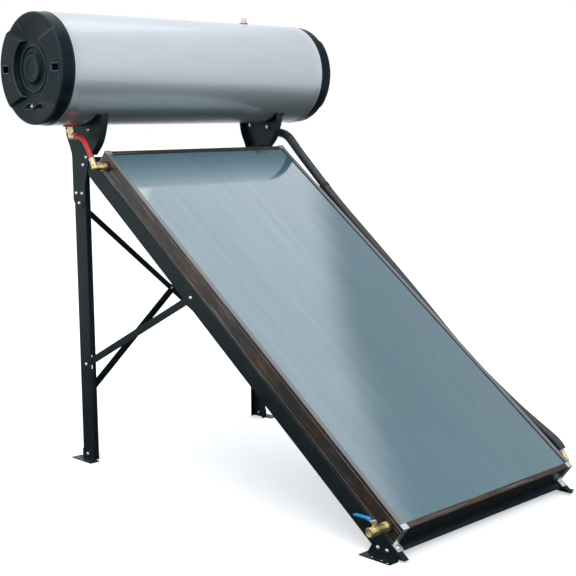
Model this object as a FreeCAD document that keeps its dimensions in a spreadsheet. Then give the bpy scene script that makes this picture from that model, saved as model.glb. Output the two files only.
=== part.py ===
import FreeCAD, Part
import Sketcher
import math
import os

# Thermosiphon solar water heater: tilted flat-plate collector on a steel stand,
# horizontal insulated tank above its upper edge, hot hose, insulated return pipe
# and a drain ball valve.  Millimetres, +X right, +Y back, +Z up, ground at z = 0.

V = FreeCAD.Vector
doc = FreeCAD.newDocument("SolarWaterHeater")
sheet = doc.addObject("Spreadsheet::Sheet", "Dims")

# ---------------------------------------------------------------- dimensions
SIZES = [
    ("tilt", 37.2, "slope of the collector, degrees"),
    ("base_height", 114.5, "height of the collector face at its lower edge"),
    ("y_shift", -976.7, "moves the model so its box is centred"),
    # collector box
    ("half_width", 505.0, "half of the collector's width"),
    ("slope_length", 2000.0, "length of the collector up the slope"),
    ("box_depth", 80.0, "depth of the collector box"),
    ("wall", 2.0, "frame extrusion wall"),
    ("lip", 19.0, "width of the frame's top lip"),
    ("shelf_drop", 10.0, "glass shelf below the top"),
    ("return_lip", 22.0, "bottom return of the frame"),
    ("groove_deep", 0.8, "groove depth in the frame's outer wall"),
    ("groove_wide", 3.0, "groove width"),
    ("glass_edge", 4.0, "glass edge in from the frame's face"),
    ("glass_thick", 4.0, "cover glass"),
    ("gasket_in", 21.0, "inner edge of the glazing gasket"),
    ("port_inset", 50.0, "header line from the lower or upper edge"),
    ("port_drop", 40.0, "header line below the face"),
    ("header_radius", 11.0, "header tube"),
    ("header_wall", 1.2, "header tube wall"),
    ("header_reach", 528.0, "header end from the centre"),
    ("riser_radius", 5.0, "riser tube"),
    ("riser_wall", 0.8, "riser tube wall"),
    ("riser_pitch", 107.0, "riser spacing"),
    ("riser_drop", 34.0, "riser centre below the face"),
    ("plate_half", 475.0, "half width of the absorber"),
    ("plate_edge", 25.0, "absorber edge from the lower edge"),
    ("plate_thick", 1.0, "absorber sheet"),
    ("wool_top", 52.0, "top of the insulation board below the face"),
    ("wool_half", 500.0, "half width of the insulation board"),
    ("back_thick", 1.0, "back sheet"),
    ("hole_radius", 17.0, "header hole in the frame"),
    ("grommet_radius", 22.0, "grommet flange"),
    ("grommet_thick", 4.0, "grommet flange thickness"),
    ("grommet_inner", 20.0, "grommet's inner flange"),
    # stand
    ("web_out", 508.0, "outer face of legs and side rails from the centre"),
    ("sheet_steel", 3.0, "thickness of the stand's sections"),
    ("flange_wide", 25.0, "channel flange"),
    ("leg_front", 1733.0, "front face of the legs"),
    ("leg_deep", 80.0, "depth of the leg channel"),
    ("leg_high", 1230.0, "height of the legs"),
    ("rail_deep", 70.0, "depth of the side rail channel"),
    ("rail_start", -110.0, "side rail blank start up the slope"),
    ("rail_end", 2110.0, "side rail upper end"),
    ("rail_cut", 8.0, "height of the rails' level cut"),
    ("bend_radius", 3.0, "outer bend of the channels"),
    ("cross_wide", 70.0, "cross rail face"),
    ("cross_lip", 15.0, "cross rail lip"),
    ("cross_bend", 6.0, "cross rail outer bend"),
    ("cross_low", -27.0, "lower cross rail start up the slope"),
    ("cross_high", 2003.0, "upper cross rail start up the slope"),
    ("clip_wide", 30.0, "corner clip width"),
    ("clip_thick", 2.0, "corner clip sheet"),
    ("clip_lip", 20.0, "corner clip lip on the face"),
    ("clip_foot", 33.0, "corner clip foot"),
    ("clip_bolt", 17.0, "clip bolt beyond the frame's end"),
    ("bolt_line", 491.0, "flange bolt line from the centre"),
    ("brace_wide", 25.0, "back brace width"),
    ("brace_lip", 12.0, "back brace lip"),
    ("brace_end", 504.5, "back brace end from the centre"),
    ("brace_bolt", 495.0, "back brace bolt from the centre"),
    ("brace_low", 268.0, "lower back brace bolt"),
    ("brace_high", 1110.0, "upper back brace bolt"),
    ("side_wide", 30.0, "side brace width"),
    ("side_leg_y", 1770.0, "side brace bolt on the leg"),
    ("side_leg_z", 416.0, "side brace bolt on the leg"),
    ("side_rail_y", 1062.4, "side brace bolt on the rail"),
    ("side_rail_z", 776.2, "side brace bolt on the rail"),
    ("side_angle", 26.97, "side brace slope"),
    ("foot_wide", 45.0, "foot plate width"),
    ("foot_long", 140.0, "foot plate length"),
    ("foot_front_y", 17.0, "front foot start"),
    ("foot_rear_y", 1698.0, "rear foot start"),
    ("hole_m", 4.5, "clearance hole for the bolts"),
    ("anchor_hole", 5.5, "anchor hole in the feet"),
    ("bolt_shank", 4.0, "bolt shank"),
    ("bolt_head", 8.0, "domed bolt head"),
    ("nut_flats", 13.0, "nut across flats"),
    ("nut_high", 6.5, "nut height"),
    ("saddle_flange", 35.0, "saddle flange width"),
    ("cradle_wide", 60.0, "cradle strip width"),
    ("cradle_thick", 3.0, "cradle strip"),
    ("cradle_reach", 136.0, "cradle half reach along Y"),
    # tank
    ("tank_y", 1736.4, "tank axis"),
    ("tank_z", 1655.2, "tank axis height"),
    ("jacket_radius", 225.0, "tank jacket"),
    ("jacket_half", 686.0, "half length of the jacket"),
    ("jacket_wall", 1.0, "jacket sheet"),
    ("tank_half", 750.0, "half of the overall length"),
    ("cap_radius", 222.5, "end cap skirt"),
    ("cap_floor", 730.0, "recessed face of the cap from the centre"),
    ("cap_wedge", 736.0, "face of the cap's wedges from the centre"),
    ("cap_wall", 3.0, "cap moulding wall"),
    ("cap_start", 674.0, "inner end of the cap"),
    ("cap_edge", 9.0, "rounding of the cap's edge"),
    ("vessel_radius", 175.0, "pressure vessel"),
    ("vessel_half", 600.0, "half length of its cylinder"),
    ("vessel_dish", 45.0, "depth of its dished ends"),
    ("vessel_wall", 2.5, "vessel wall"),
    ("foam_half", 672.0, "half length of the foam"),
    ("nipple_radius", 13.5, "threaded nipple"),
    ("nipple_bore", 8.0, "bore of the nipples"),
    ("nipple_low", 566.0, "lower nipples from the centre"),
    ("nipple_low_end", 251.0, "end of the lower nipples from the axis"),
    ("nipple_top_x", 400.0, "top nipple"),
    ("nipple_top_end", 250.0, "end of the top nipple from the axis"),
    ("thread_radius", 13.2, "threaded end of the top nipple"),
    ("thread_long", 15.5, "length of that thread"),
    ("seal_radius", 30.5, "seal round a lower nipple"),
    ("seal_top_radius", 21.0, "seal round the top nipple"),
    ("seal_drop", 231.5, "outer face of the lower seals from the axis"),
    ("neck_radius", 62.0, "heater neck ring"),
    ("neck_bore", 42.0, "heater neck bore"),
    ("neck_face", 656.0, "neck face from the centre"),
    # pipes
    ("fitting_radius", 12.0, "brass elbow"),
    ("elbow_drop", 271.2, "tank elbow centre below the axis"),
    ("elbow_end", 1716.0, "tank elbow outlet"),
    ("hose_radius", 9.5, "red hose"),
    ("hose_bore", 6.5, "bore of the red hose"),
    ("ferrule_radius", 12.0, "hose ferrule"),
    ("pipe_radius", 11.0, "return pipe"),
    ("pipe_bore", 9.0, "bore of the return pipe"),
    ("foam_radius", 19.5, "return pipe insulation"),
    ("low_elbow_x", 557.0, "lower right elbow from the centre"),
    # drain valve
    ("valve_x", 577.0, "valve stem from the centre"),
    ("ball_radius", 11.0, "valve ball"),
    ("ball_bore", 7.0, "bore of the ball"),
    ("body_radius", 17.0, "valve body"),
    ("stem_radius", 4.5, "valve stem"),
    ("lever_wide", 12.0, "valve lever"),
    ("lever_thick", 2.5, "valve lever strip"),
    ("grip_radius", 5.5, "lever sleeve"),
]
VALUES = {}
for row, (alias, value, note) in enumerate(SIZES, start=1):
    sheet.set("A%d" % row, alias)
    sheet.set("B%d" % row, repr(value))
    sheet.set("C%d" % row, note)
    sheet.setAlias("B%d" % row, alias)
    VALUES[alias] = value
doc.recompute()


class Q:
    """A size: its number and the sheet expression that drives it."""

    def __init__(self, v, text=None):
        self.v = float(v)
        self.text = text

    def src(self):
        return self.text if self.text else "(%r)" % self.v

    def _mix(self, other, sign, v):
        if self.text is None and other.text is None:
            return Q(v)
        return Q(v, "(%s %s %s)" % (self.src(), sign, other.src()))

    def __add__(self, o):
        o = as_q(o)
        return self._mix(o, "+", self.v + o.v)

    def __sub__(self, o):
        o = as_q(o)
        return self._mix(o, "-", self.v - o.v)

    def __mul__(self, o):
        o = as_q(o)
        return self._mix(o, "*", self.v * o.v)

    def __truediv__(self, o):
        o = as_q(o)
        return self._mix(o, "/", self.v / o.v)

    def __radd__(self, o):
        return as_q(o) + self

    def __rsub__(self, o):
        return as_q(o) - self

    def __rmul__(self, o):
        return as_q(o) * self

    def __neg__(self):
        return as_q(-1.0) * self


def as_q(x):
    return x if isinstance(x, Q) else Q(x)


def num(x):
    return x.v if isinstance(x, Q) else float(x)


class Cells:
    def __getattr__(self, alias):
        return Q(VALUES[alias], "Dims." + alias)


D = Cells()
SIN = Q(math.sin(math.radians(VALUES["tilt"])), "sin(Dims.tilt * 1 deg)")
COS = Q(math.cos(math.radians(VALUES["tilt"])), "cos(Dims.tilt * 1 deg)")
NODES = []


def put(obj, prop, x):
    setattr(obj, prop, num(x))
    if isinstance(x, Q) and x.text:
        obj.setExpression(prop, x.text)


def place(obj, x=0, y=0, z=0, axis=(0, 0, 1), angle=0):
    obj.Placement = FreeCAD.Placement(V(num(x), num(y), num(z)), FreeCAD.Rotation(V(*axis), num(angle)))
    for key, c in (("x", x), ("y", y), ("z", z)):
        if isinstance(c, Q) and c.text:
            obj.setExpression("Placement.Base." + key, c.text)
    if isinstance(angle, Q) and angle.text:
        obj.setExpression("Placement.Rotation.Angle", angle.text)


def node(obj, label, where="stand", turn=False):
    """Names a finished piece and stands it in the model's frame."""
    obj.Label = label
    if where == "slope":
        place(obj, 0, D.y_shift, D.base_height, (1, 0, 0), D.tilt)
    elif where == "tank":
        place(obj, 0, D.tank_y + D.y_shift, D.tank_z, (0, 0, 1), 180 if turn else 0)
    else:
        place(obj, 0, D.y_shift, 0)
    NODES.append(obj)
    return obj


# ------------------------------------------------------------ Part primitives
def box(name, x0, x1, y0, y1, z0, z1):
    b = doc.addObject("Part::Box", name)
    put(b, "Length", as_q(x1) - x0)
    put(b, "Width", as_q(y1) - y0)
    put(b, "Height", as_q(z1) - z0)
    place(b, x0, y0, z0)
    return b


TURN = {"x": ((0, 1, 0), 90), "y": ((1, 0, 0), -90), "z": ((0, 0, 1), 0)}


def rod(name, along, r, x, y, z, length):
    """Cylinder along +x, +y or +z from a point."""
    c = doc.addObject("Part::Cylinder", name)
    put(c, "Radius", r)
    put(c, "Height", length)
    place(c, x, y, z, *TURN[along])
    return c


def fuse(name, parts):
    f = doc.addObject("Part::MultiFuse", name)
    f.Shapes = parts
    return f


def cut(name, base, tools):
    c = doc.addObject("Part::Cut", name)
    c.Base = base
    c.Tool = tools[0] if len(tools) == 1 else fuse(name + "_tools", tools)
    return c


# --------------------------------------------------------------- PartDesign
def body(name):
    return doc.addObject("PartDesign::Body", name)


ROLE = {"x": "YZ_Plane", "y": "XZ_Plane", "z": "XY_Plane"}


def sketch(bd, normal, at=0):
    plane = [o for o in bd.Origin.OriginFeatures if o.Role == ROLE[normal]][0]
    sk = bd.newObject("Sketcher::SketchObject", bd.Name + "_sketch")
    sk.AttachmentSupport = [(plane, "")]
    sk.MapMode = "FlatFace"
    off = -as_q(at) if normal == "y" else as_q(at)
    if off.v != 0 or off.text:
        sk.AttachmentOffset = FreeCAD.Placement(V(0, 0, off.v), FreeCAD.Rotation())
        if off.text:
            sk.setExpression("AttachmentOffset.Base.z", off.text)
    return sk


def pin_point(sk, geo, pos, x, y):
    for kind, c, axis_geo in (("DistanceX", x, -2), ("DistanceY", y, -1)):
        c = as_q(c)
        if abs(c.v) < 1e-9:
            sk.addConstraint(Sketcher.Constraint("PointOnObject", geo, pos, axis_geo))
            continue
        k = sk.addConstraint(Sketcher.Constraint(kind, -1, 1, geo, pos, c.v))
        if c.text:
            label = "%s_%d_%d" % (kind, geo, pos)
            sk.renameConstraint(k, label)
            sk.setExpression("Constraints." + label, c.text)


def outline(sk, pts):
    first = sk.GeometryCount
    n = len(pts)
    for i in range(n):
        a, b = pts[i], pts[(i + 1) % n]
        sk.addGeometry(Part.LineSegment(V(num(a[0]), num(a[1]), 0), V(num(b[0]), num(b[1]), 0)))
    for i in range(n):
        sk.addConstraint(Sketcher.Constraint("Coincident", first + i, 2, first + (i + 1) % n, 1))
    for i, (x, y) in enumerate(pts):
        pin_point(sk, first + i, 1, x, y)


def ring(sk, x, y, r):
    g = sk.addGeometry(Part.Circle(V(num(x), num(y), 0), V(0, 0, 1), num(r)))
    pin_point(sk, g, 3, x, y)
    k = sk.addConstraint(Sketcher.Constraint("Radius", g, num(r)))
    if isinstance(r, Q) and r.text:
        sk.renameConstraint(k, "radius_%d" % g)
        sk.setExpression("Constraints.radius_%d" % g, r.text)


def draw(bd, normal, at, polys, rings):
    sk = sketch(bd, normal, at)
    for p in polys:
        outline(sk, p)
    for r in rings:
        ring(sk, *r)
    return sk


def pad(bd, normal, at, length, polys=(), rings=(), taper=0):
    """Adds material from a plane across the normal, towards plus."""
    f_sketch = draw(bd, normal, at, polys, rings)
    f = bd.newObject("PartDesign::Pad", bd.Name + "_pad")
    f.Profile = f_sketch
    put(f, "Length", length)
    f.Reversed = normal == "y"
    if taper:
        f.TaperAngle = taper
    return f


def pocket(bd, normal, at, length, polys=(), rings=(), back=False, taper=0):
    """Removes material from a plane towards plus (or minus with back)."""
    f_sketch = draw(bd, normal, at, polys, rings)
    f = bd.newObject("PartDesign::Pocket", bd.Name + "_pocket")
    f.Profile = f_sketch
    put(f, "Length", length)
    f.Reversed = (normal != "y") != back
    if taper:
        f.TaperAngle = taper
    return f


def through(bd, normal, polys=(), rings=()):
    f_sketch = draw(bd, normal, 0, polys, rings)
    f = bd.newObject("PartDesign::Pocket", bd.Name + "_holes")
    f.Profile = f_sketch
    f.Type = "ThroughAll"
    f.SideType = "Symmetric"
    return f


def spin(bd, kind, pts, about="H_Axis"):
    """Revolution or Groove: pts are (along X, radius)."""
    f_sketch = draw(bd, "z", 0, [pts], [])
    f = bd.newObject("PartDesign::" + kind, bd.Name + "_" + kind.lower())
    f.Profile = f_sketch
    f.ReferenceAxis = (f_sketch, [about])
    f.Angle = 360
    return f


def dress(bd, kind, size, keep):
    """Fillet or Chamfer on the edges the test keeps."""
    doc.recompute()
    base = bd.Tip
    names = ["Edge%d" % (i + 1) for i, e in enumerate(base.Shape.Edges) if keep(e)]
    f = bd.newObject("PartDesign::" + kind, bd.Name + "_" + kind.lower())
    f.Base = (base, names)
    put(f, "Radius" if kind == "Fillet" else "Size", size)
    return f


def mid(e):
    return e.valueAt((e.FirstParameter + e.LastParameter) / 2.0)


def shaped(name, shape):
    """A piece whose shape is computed in code from the sheet's sizes."""
    f = doc.addObject("Part::Feature", name)
    f.Shape = shape
    return f


# =================================================================== collector
HW, SL, BD, WL = D.half_width, D.slope_length, D.box_depth, D.wall


def frame_profile(edge, inward):
    """Extrusion section: distance in from the outer face, and height."""
    def p(d):
        return edge + inward * as_q(d)
    g, gd = D.groove_wide / 2, D.groove_deep
    pts = [(p(0), Q(0)), (p(D.lip), Q(0)), (p(D.lip), -WL), (p(WL), -WL), (p(WL), -D.shelf_drop),
           (p(D.lip), -D.shelf_drop), (p(D.lip), -(D.shelf_drop + WL)), (p(WL), -(D.shelf_drop + WL)),
           (p(WL), -(BD - WL)), (p(D.return_lip), -(BD - WL)), (p(D.return_lip), -BD), (p(0), -BD)]
    for c in (0.86, 0.17):
        h = -BD * c
        pts += [(p(0), h - g), (p(gd), h - g / 2), (p(gd), h + g / 2), (p(0), h + g)]
    return pts


def frame_side(label, s):
    bd = body(label)
    pad(bd, "y", 0, SL, [frame_profile(s * HW, -s)])
    c = 30
    through(bd, "z", [[(s * HW, 0), (s * (HW - c), 0), (s * (HW - c), c)]])
    through(bd, "z", [[(s * HW, SL), (s * (HW - c), SL), (s * (HW - c), SL - c)]])
    through(bd, "x", rings=[(D.port_inset, -D.port_drop, D.hole_radius),
                            (SL - D.port_inset, -D.port_drop, D.hole_radius)])
    return node(bd, label, "slope")


def frame_end(label, edge, inward):
    bd = body(label)
    pad(bd, "x", -HW, HW * 2, [frame_profile(edge, inward)])
    c = 30
    for s in (-1, 1):
        through(bd, "z", [[(s * HW, edge), (s * HW, edge + inward * as_q(c)), (s * (HW - c), edge + inward * as_q(c))]])
    return node(bd, label, "slope")


frame_side("frame_left", -1)
frame_side("frame_right", 1)
frame_end("frame_bottom", Q(0), 1)
frame_end("frame_top", SL, -1)

GE, GI = D.glass_edge, D.gasket_in
bd = body("collector_glass")
pad(bd, "z", -(GE + D.glass_thick), D.glass_thick,
    [[(-(HW - GE), GE), (HW - GE, GE), (HW - GE, SL - GE), (-(HW - GE), SL - GE)]])
dress(bd, "Chamfer", 0.8, lambda e: abs(mid(e).z + 4.0) < 0.01)
node(bd, "collector_glass", "slope")

outer = box("gasket_outer", -(HW - WL), HW - WL, WL, SL - WL, -D.shelf_drop, -WL)
inner = box("gasket_inner", -(HW - GI), HW - GI, GI, SL - GI, -20, 5)
slot = box("gasket_slot", -(HW - GE), HW - GE, GE, SL - GE, -(GE + D.glass_thick), -GE)
node(cut("glass_gasket", outer, [inner, slot]), "glass_gasket", "slope")

bd = body("absorber_plate")
PH, PE = D.plate_half, D.plate_edge
pad(bd, "z", -(D.riser_drop - D.riser_radius), D.plate_thick,
    [[(-PH, PE), (PH, PE), (PH, SL - PE), (-PH, SL - PE)]])
node(bd, "absorber_plate", "slope")

for label, at in (("header_bottom", D.port_inset), ("header_top", SL - D.port_inset)):
    bd = body(label)
    pad(bd, "x", -D.header_reach, D.header_reach * 2, [],
        [(at, -D.port_drop, D.header_radius), (at, -D.port_drop, D.header_radius - D.header_wall)])
    # riser sockets in the header's wall, towards the middle of the collector
    away = label == "header_top"
    pocket(bd, "y", at, D.header_radius + 3, [],
           [(D.riser_pitch * k, -D.riser_drop, D.riser_radius - D.riser_wall) for k in range(-4, 5)], back=away)
    node(bd, label, "slope")

risers = []
for k in range(-4, 5):
    tube = rod("riser_%d" % (k + 5), "y", D.riser_radius, D.riser_pitch * k, D.port_inset, -D.riser_drop,
               SL - D.port_inset * 2)
    hole = rod("riser_bore_%d" % (k + 5), "y", D.riser_radius - D.riser_wall, D.riser_pitch * k, D.port_inset,
               -D.riser_drop, SL - D.port_inset * 2)
    risers.append(cut("riser_tube_%d" % (k + 5), tube, [hole]))
ends = [rod("riser_end_%d" % i, "x", D.header_radius, -HW, at, -D.port_drop, HW * 2)
        for i, at in enumerate((D.port_inset, SL - D.port_inset))]
node(cut("riser_tubes", fuse("riser_set", risers), ends), "riser_tubes", "slope")

bd = body("collector_insulation")
WH = D.wool_half
pad(bd, "z", -(BD - WL - D.back_thick), BD - WL - D.back_thick - D.wool_top,
    [[(-WH, 5), (WH, 5), (WH, SL - 5), (-WH, SL - 5)]])
node(bd, "collector_insulation", "slope")

bd = body("back_sheet")
pad(bd, "z", -(BD - WL), D.back_thick, [[(-(HW - WL), WL), (HW - WL, WL), (HW - WL, SL - WL), (-(HW - WL), SL - WL)]])
node(bd, "back_sheet", "slope")

rings = []
for s in (-1, 1):
    for i, at in enumerate((D.port_inset, SL - D.port_inset)):
        tag = "%s%d" % ("a" if s < 0 else "b", i)
        if s > 0:
            start = HW - WL - 3
            parts = [rod("g_in_" + tag, "x", D.grommet_inner, start, at, -D.port_drop, 3),
                     rod("g_mid_" + tag, "x", D.hole_radius, start, at, -D.port_drop, 10),
                     rod("g_out_" + tag, "x", D.grommet_radius, HW, at, -D.port_drop, D.grommet_thick)]
        else:
            start = -HW - D.grommet_thick
            parts = [rod("g_in_" + tag, "x", D.grommet_inner, -(HW - WL), at, -D.port_drop, 3),
                     rod("g_mid_" + tag, "x", D.hole_radius, start, at, -D.port_drop, WL + 5 + 2),
                     rod("g_out_" + tag, "x", D.grommet_radius, start, at, -D.port_drop, D.grommet_thick)]
        # the middle barrel is trimmed by the two flange planes below
        keep = box("g_keep_" + tag, *( (HW - WL - 3, HW + D.grommet_thick) if s > 0 else (start, -(HW - WL - 3)) ),
                   at - 30, at + 30, -D.port_drop - 30, -D.port_drop + 30)
        solid = doc.addObject("Part::Common", "g_ring_" + tag)
        solid.Base = fuse("g_set_" + tag, parts)
        solid.Tool = keep
        rings.append(cut("grommet_" + tag, solid,
                         [rod("g_bore_" + tag, "x", D.header_radius, -HW - 20 if s < 0 else HW - 20, at, -D.port_drop, 40)]))
node(fuse("header_grommets", rings), "header_grommets", "slope")

bd = body("header_plug")
spin(bd, "Revolution", [(HW + 4.5, D.header_radius), (HW + 4.5, D.header_radius + 5), (HW + 22, D.header_radius + 5),
                        (HW + 22, D.header_radius + 3), (HW + 30, D.header_radius + 3), (HW + 32, D.header_radius + 1),
                        (HW + 32, Q(0)), (D.header_reach, Q(0)), (D.header_reach, D.header_radius)])
bd.Label = "header_plug"
place(bd, 0, D.y_shift + (SL - D.port_inset) * COS + D.port_drop * SIN,
      D.base_height + (SL - D.port_inset) * SIN - D.port_drop * COS, (1, 0, 0), D.tilt)
NODES.append(bd)

clips = []
CT, CL, CF = D.clip_thick, D.clip_lip, D.clip_foot
for s in (-1, 1):
    for e, (edge, d) in enumerate(((Q(0), -1), (SL, 1))):
        tag = "%s%d" % ("a" if s < 0 else "b", e)
        xs = (-HW, -(HW - D.clip_wide)) if s < 0 else (HW - D.clip_wide, HW)

        def span(a, b):
            lo, hi = edge + d * as_q(a), edge + d * as_q(b)
            return (lo, hi) if lo.v < hi.v else (hi, lo)
        clips += [box("clip_lip_" + tag, xs[0], xs[1], *span(-CL, CT), 0, CT),
                  box("clip_strap_" + tag, xs[0], xs[1], *span(0, CT), -BD, CT),
                  box("clip_foot_" + tag, xs[0], xs[1], *span(0, CF), -BD, -(BD - CT))]
drills = [rod("clip_hole_%d" % i, "z", D.hole_m, x, y, -BD - 5, 15)
          for i, (x, y) in enumerate(((-D.bolt_line, -D.clip_bolt), (D.bolt_line, -D.clip_bolt),
                                      (-D.bolt_line, SL + D.clip_bolt), (D.bolt_line, SL + D.clip_bolt)))]
node(cut("corner_clips", fuse("clip_set", clips), drills), "corner_clips", "slope")

# ======================================================================= stand
WO, ST, FW = D.web_out, D.sheet_steel, D.flange_wide
LF, LD = D.leg_front, D.leg_deep
SADDLE_LEG = [(1753.0, 1147.0), (1794.0, 1147.0), (1775.0, 1106.0)]
SADDLE_RAIL = [(1715.0, 1298.0), (1738.0, 1266.0)]
CRADLE = [(1694.0, 1411.0), (1812.0, 1419.0)]
FOOT_REAR = [(1777.0, 20.0)]
FOOT_FRONT = [(106.0, 28.6), (65.0, 27.0)]
REAR_ANCHOR = [(1738.0, 533.0), (1798.0, 533.0)]
FRONT_ANCHOR = [(109.0, 537.0), (65.5, 538.0), (34.0, 545.0)]


def to_slope(y, z):
    """Stand coordinates to (up the slope, off the face)."""
    z = as_q(z) - D.base_height
    return as_q(y) * COS + z * SIN, z * COS - as_q(y) * SIN


def channel(s, lo, deep, sign=1):
    """C section: web outside, flanges inward; pairs are (x, across)."""
    a, b = lo, lo + deep * sign
    t = ST * sign
    return [(s * WO, a), (s * (WO - FW), a), (s * (WO - FW), a + t), (s * (WO - ST), a + t),
            (s * (WO - ST), b - t), (s * (WO - FW), b - t), (s * (WO - FW), b), (s * WO, b)]


def rear_leg(label, s):
    bd = body(label)
    pad(bd, "z", 0, D.leg_high, [channel(s, LF, LD)])
    dress(bd, "Fillet", D.bend_radius,
          lambda e: abs(abs(mid(e).x) - VALUES["web_out"]) < 0.01 and e.Length > 1000)
    through(bd, "x", rings=[(y, z, D.hole_m) for y, z in SADDLE_LEG + [(D.side_leg_y, D.side_leg_z)] + FOOT_REAR])
    pocket(bd, "y", LF + LD - ST * 2, ST * 3, [],
           [(s * D.brace_bolt, D.brace_low, D.hole_m), (s * D.brace_bolt, D.brace_high, D.hole_m)])
    # window that lets the side brace into the channel
    pocket(bd, "y", LF - 1, ST + 2, [[(s * (WO - ST), 400), (s * (WO - ST - 5), 400), (s * (WO - ST - 5), 460),
                                      (s * (WO - ST), 460)]])
    return node(bd, label)


rear_leg("rear_leg_left", -1)
rear_leg("rear_leg_right", 1)

RD = D.rail_deep


def side_rail(label, s):
    bd = body(label)
    pad(bd, "y", D.rail_start, D.rail_end - D.rail_start, [channel(s, -(BD + RD), RD)])
    dress(bd, "Fillet", D.bend_radius,
          lambda e: abs(abs(mid(e).x) - VALUES["web_out"]) < 0.01 and e.Length > 1000)
    # level cut at the foot
    top, low = -(BD - 20), -(BD + RD + 20)
    drop = D.rail_cut - D.base_height
    through(bd, "x", [[((drop - top * COS) / SIN, top), ((drop - low * COS) / SIN, low),
                       (D.rail_start - 60, low), (D.rail_start - 60, top)]])
    front = [to_slope(y, z) + (D.hole_m,) for y, z in FOOT_FRONT + SADDLE_RAIL]
    front.append(to_slope(D.side_rail_y, D.side_rail_z) + (D.hole_m,))
    through(bd, "x", rings=front)
    pocket(bd, "z", -(BD + ST + 1), ST + 2, [],
           [(s * D.bolt_line, -D.clip_bolt, D.hole_m), (s * D.bolt_line, SL + D.clip_bolt, D.hole_m)])
    pocket(bd, "z", -(BD + RD + 1), ST + 2,
           [[(s * (WO - ST), 1238), (s * (WO - ST - 5), 1238), (s * (WO - ST - 5), 1290), (s * (WO - ST), 1290)]])
    return node(bd, label, "slope")


side_rail("side_rail_left", -1)
side_rail("side_rail_right", 1)


def cross_rail(label, start):
    bd = body(label)
    a, b = start, start + D.cross_wide
    top = -(BD + ST)
    end = WO - ST
    pad(bd, "x", -end, end * 2,
        [[(a, top), (b, top), (b, top - D.cross_lip), (b - ST, top - D.cross_lip), (b - ST, top - ST),
          (a + ST, top - ST), (a + ST, top - D.cross_lip), (a, top - D.cross_lip)]])
    dress(bd, "Fillet", D.cross_bend,
          lambda e: e.Length > 900 and abs(mid(e).z + 83.0) < 0.01)
    y = -D.clip_bolt if num(start) < 0 else SL + D.clip_bolt
    through(bd, "z", rings=[(-D.bolt_line, y, D.hole_m), (D.bolt_line, y, D.hole_m)])
    return node(bd, label, "slope")


cross_rail("cross_rail_bottom", D.cross_low)
cross_rail("cross_rail_top", D.cross_high)


def side_brace(label, s):
    length = math.hypot(VALUES["side_leg_y"] - VALUES["side_rail_y"], VALUES["side_rail_z"] - VALUES["side_leg_z"])
    x = WO - ST * 2 if s > 0 else -(WO - ST)
    half = D.side_wide / 2
    strip = box(label + "_strip", 0, ST, -half, length + half, -half, half)
    holes = [rod(label + "_hole_%d" % i, "x", D.hole_m, -2, at, 0, ST + 4) for i, at in enumerate((0.0, length))]
    b = cut(label, strip, holes)
    b.Label = label
    place(b, x, D.side_rail_y + D.y_shift, D.side_rail_z, (1, 0, 0), -D.side_angle)
    NODES.append(b)


side_brace("side_brace_left", -1)
side_brace("side_brace_right", 1)


def back_brace(label, up, y, lip_side, lip_y):
    """Angle strip between the legs; up = +1 rises to the right."""
    bd = body(label)
    run = VALUES["brace_bolt"] * 2
    rise = (D.brace_high - D.brace_low)
    ang = math.atan2(VALUES["brace_high"] - VALUES["brace_low"], run)
    k = 1.0 / math.cos(ang)
    centre = (D.brace_high + D.brace_low) / 2
    tip = rise * up * (D.brace_end / D.brace_bolt) / 2
    half = D.brace_wide * (k / 2)
    t = ST * k * lip_side
    e = D.brace_end
    edge = half * lip_side
    pad(bd, "y", y, ST, [[(-e, centre - tip - half), (e, centre + tip - half),
                          (e, centre + tip + half), (-e, centre - tip + half)]])
    pad(bd, "y", lip_y, D.brace_lip, [[(-e, centre - tip + edge), (e, centre + tip + edge),
                                       (e, centre + tip + edge - t), (-e, centre - tip + edge - t)]])
    through(bd, "y", rings=[(-D.brace_bolt, centre - rise * up / 2, D.hole_m), (0, centre, D.hole_m),
                            (D.brace_bolt, centre + rise * up / 2, D.hole_m)])
    return node(bd, label)


REAR = LF + LD
back_brace("back_brace_a", -1, REAR, 1, REAR + ST)
back_brace("back_brace_b", 1, REAR - ST * 2, -1, REAR - ST * 2 - D.brace_lip)


def foot(label, s, start, plate_pts, bolts, anchors):
    bd = body(label)
    inner, outer = WO + ST, WO + D.foot_wide
    lo, hi = (inner, outer) if s > 0 else (-outer, -inner)
    pad(bd, "z", 0, ST, [[(lo, start), (hi, start), (hi, start + D.foot_long), (lo, start + D.foot_long)]])
    pad(bd, "x", WO if s > 0 else -inner, ST, [plate_pts])
    through(bd, "x", rings=[(y, z, D.hole_m) for y, z in bolts])
    through(bd, "z", rings=[(s * x, y, D.anchor_hole) for y, x in anchors])
    edge = VALUES["web_out"] + VALUES["foot_wide"]
    dress(bd, "Fillet", 4.0, lambda e: abs(abs(mid(e).x) - edge) < 0.01 and abs(e.Length - 3.0) < 0.01)
    return node(bd, label)


for s, side in ((-1, "left"), (1, "right")):
    a = D.foot_rear_y
    foot("foot_rear_" + side, s, a, [(a, 0), (a + D.foot_long, 0), (a + D.foot_long, ST), (LF + LD, ST + 4),
                                     (LF + LD, 40), (LF, 40), (LF, ST + 4), (a, ST)], FOOT_REAR, REAR_ANCHOR)
    a = D.foot_front_y
    foot("foot_front_" + side, s, a, [(a, 0), (a + D.foot_long, 0), (a + D.foot_long, ST), (150, ST + 3.6), (132, 36),
                                      (112, 50), (60, 50), (a, 22)], FOOT_FRONT, FRONT_ANCHOR)

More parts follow.
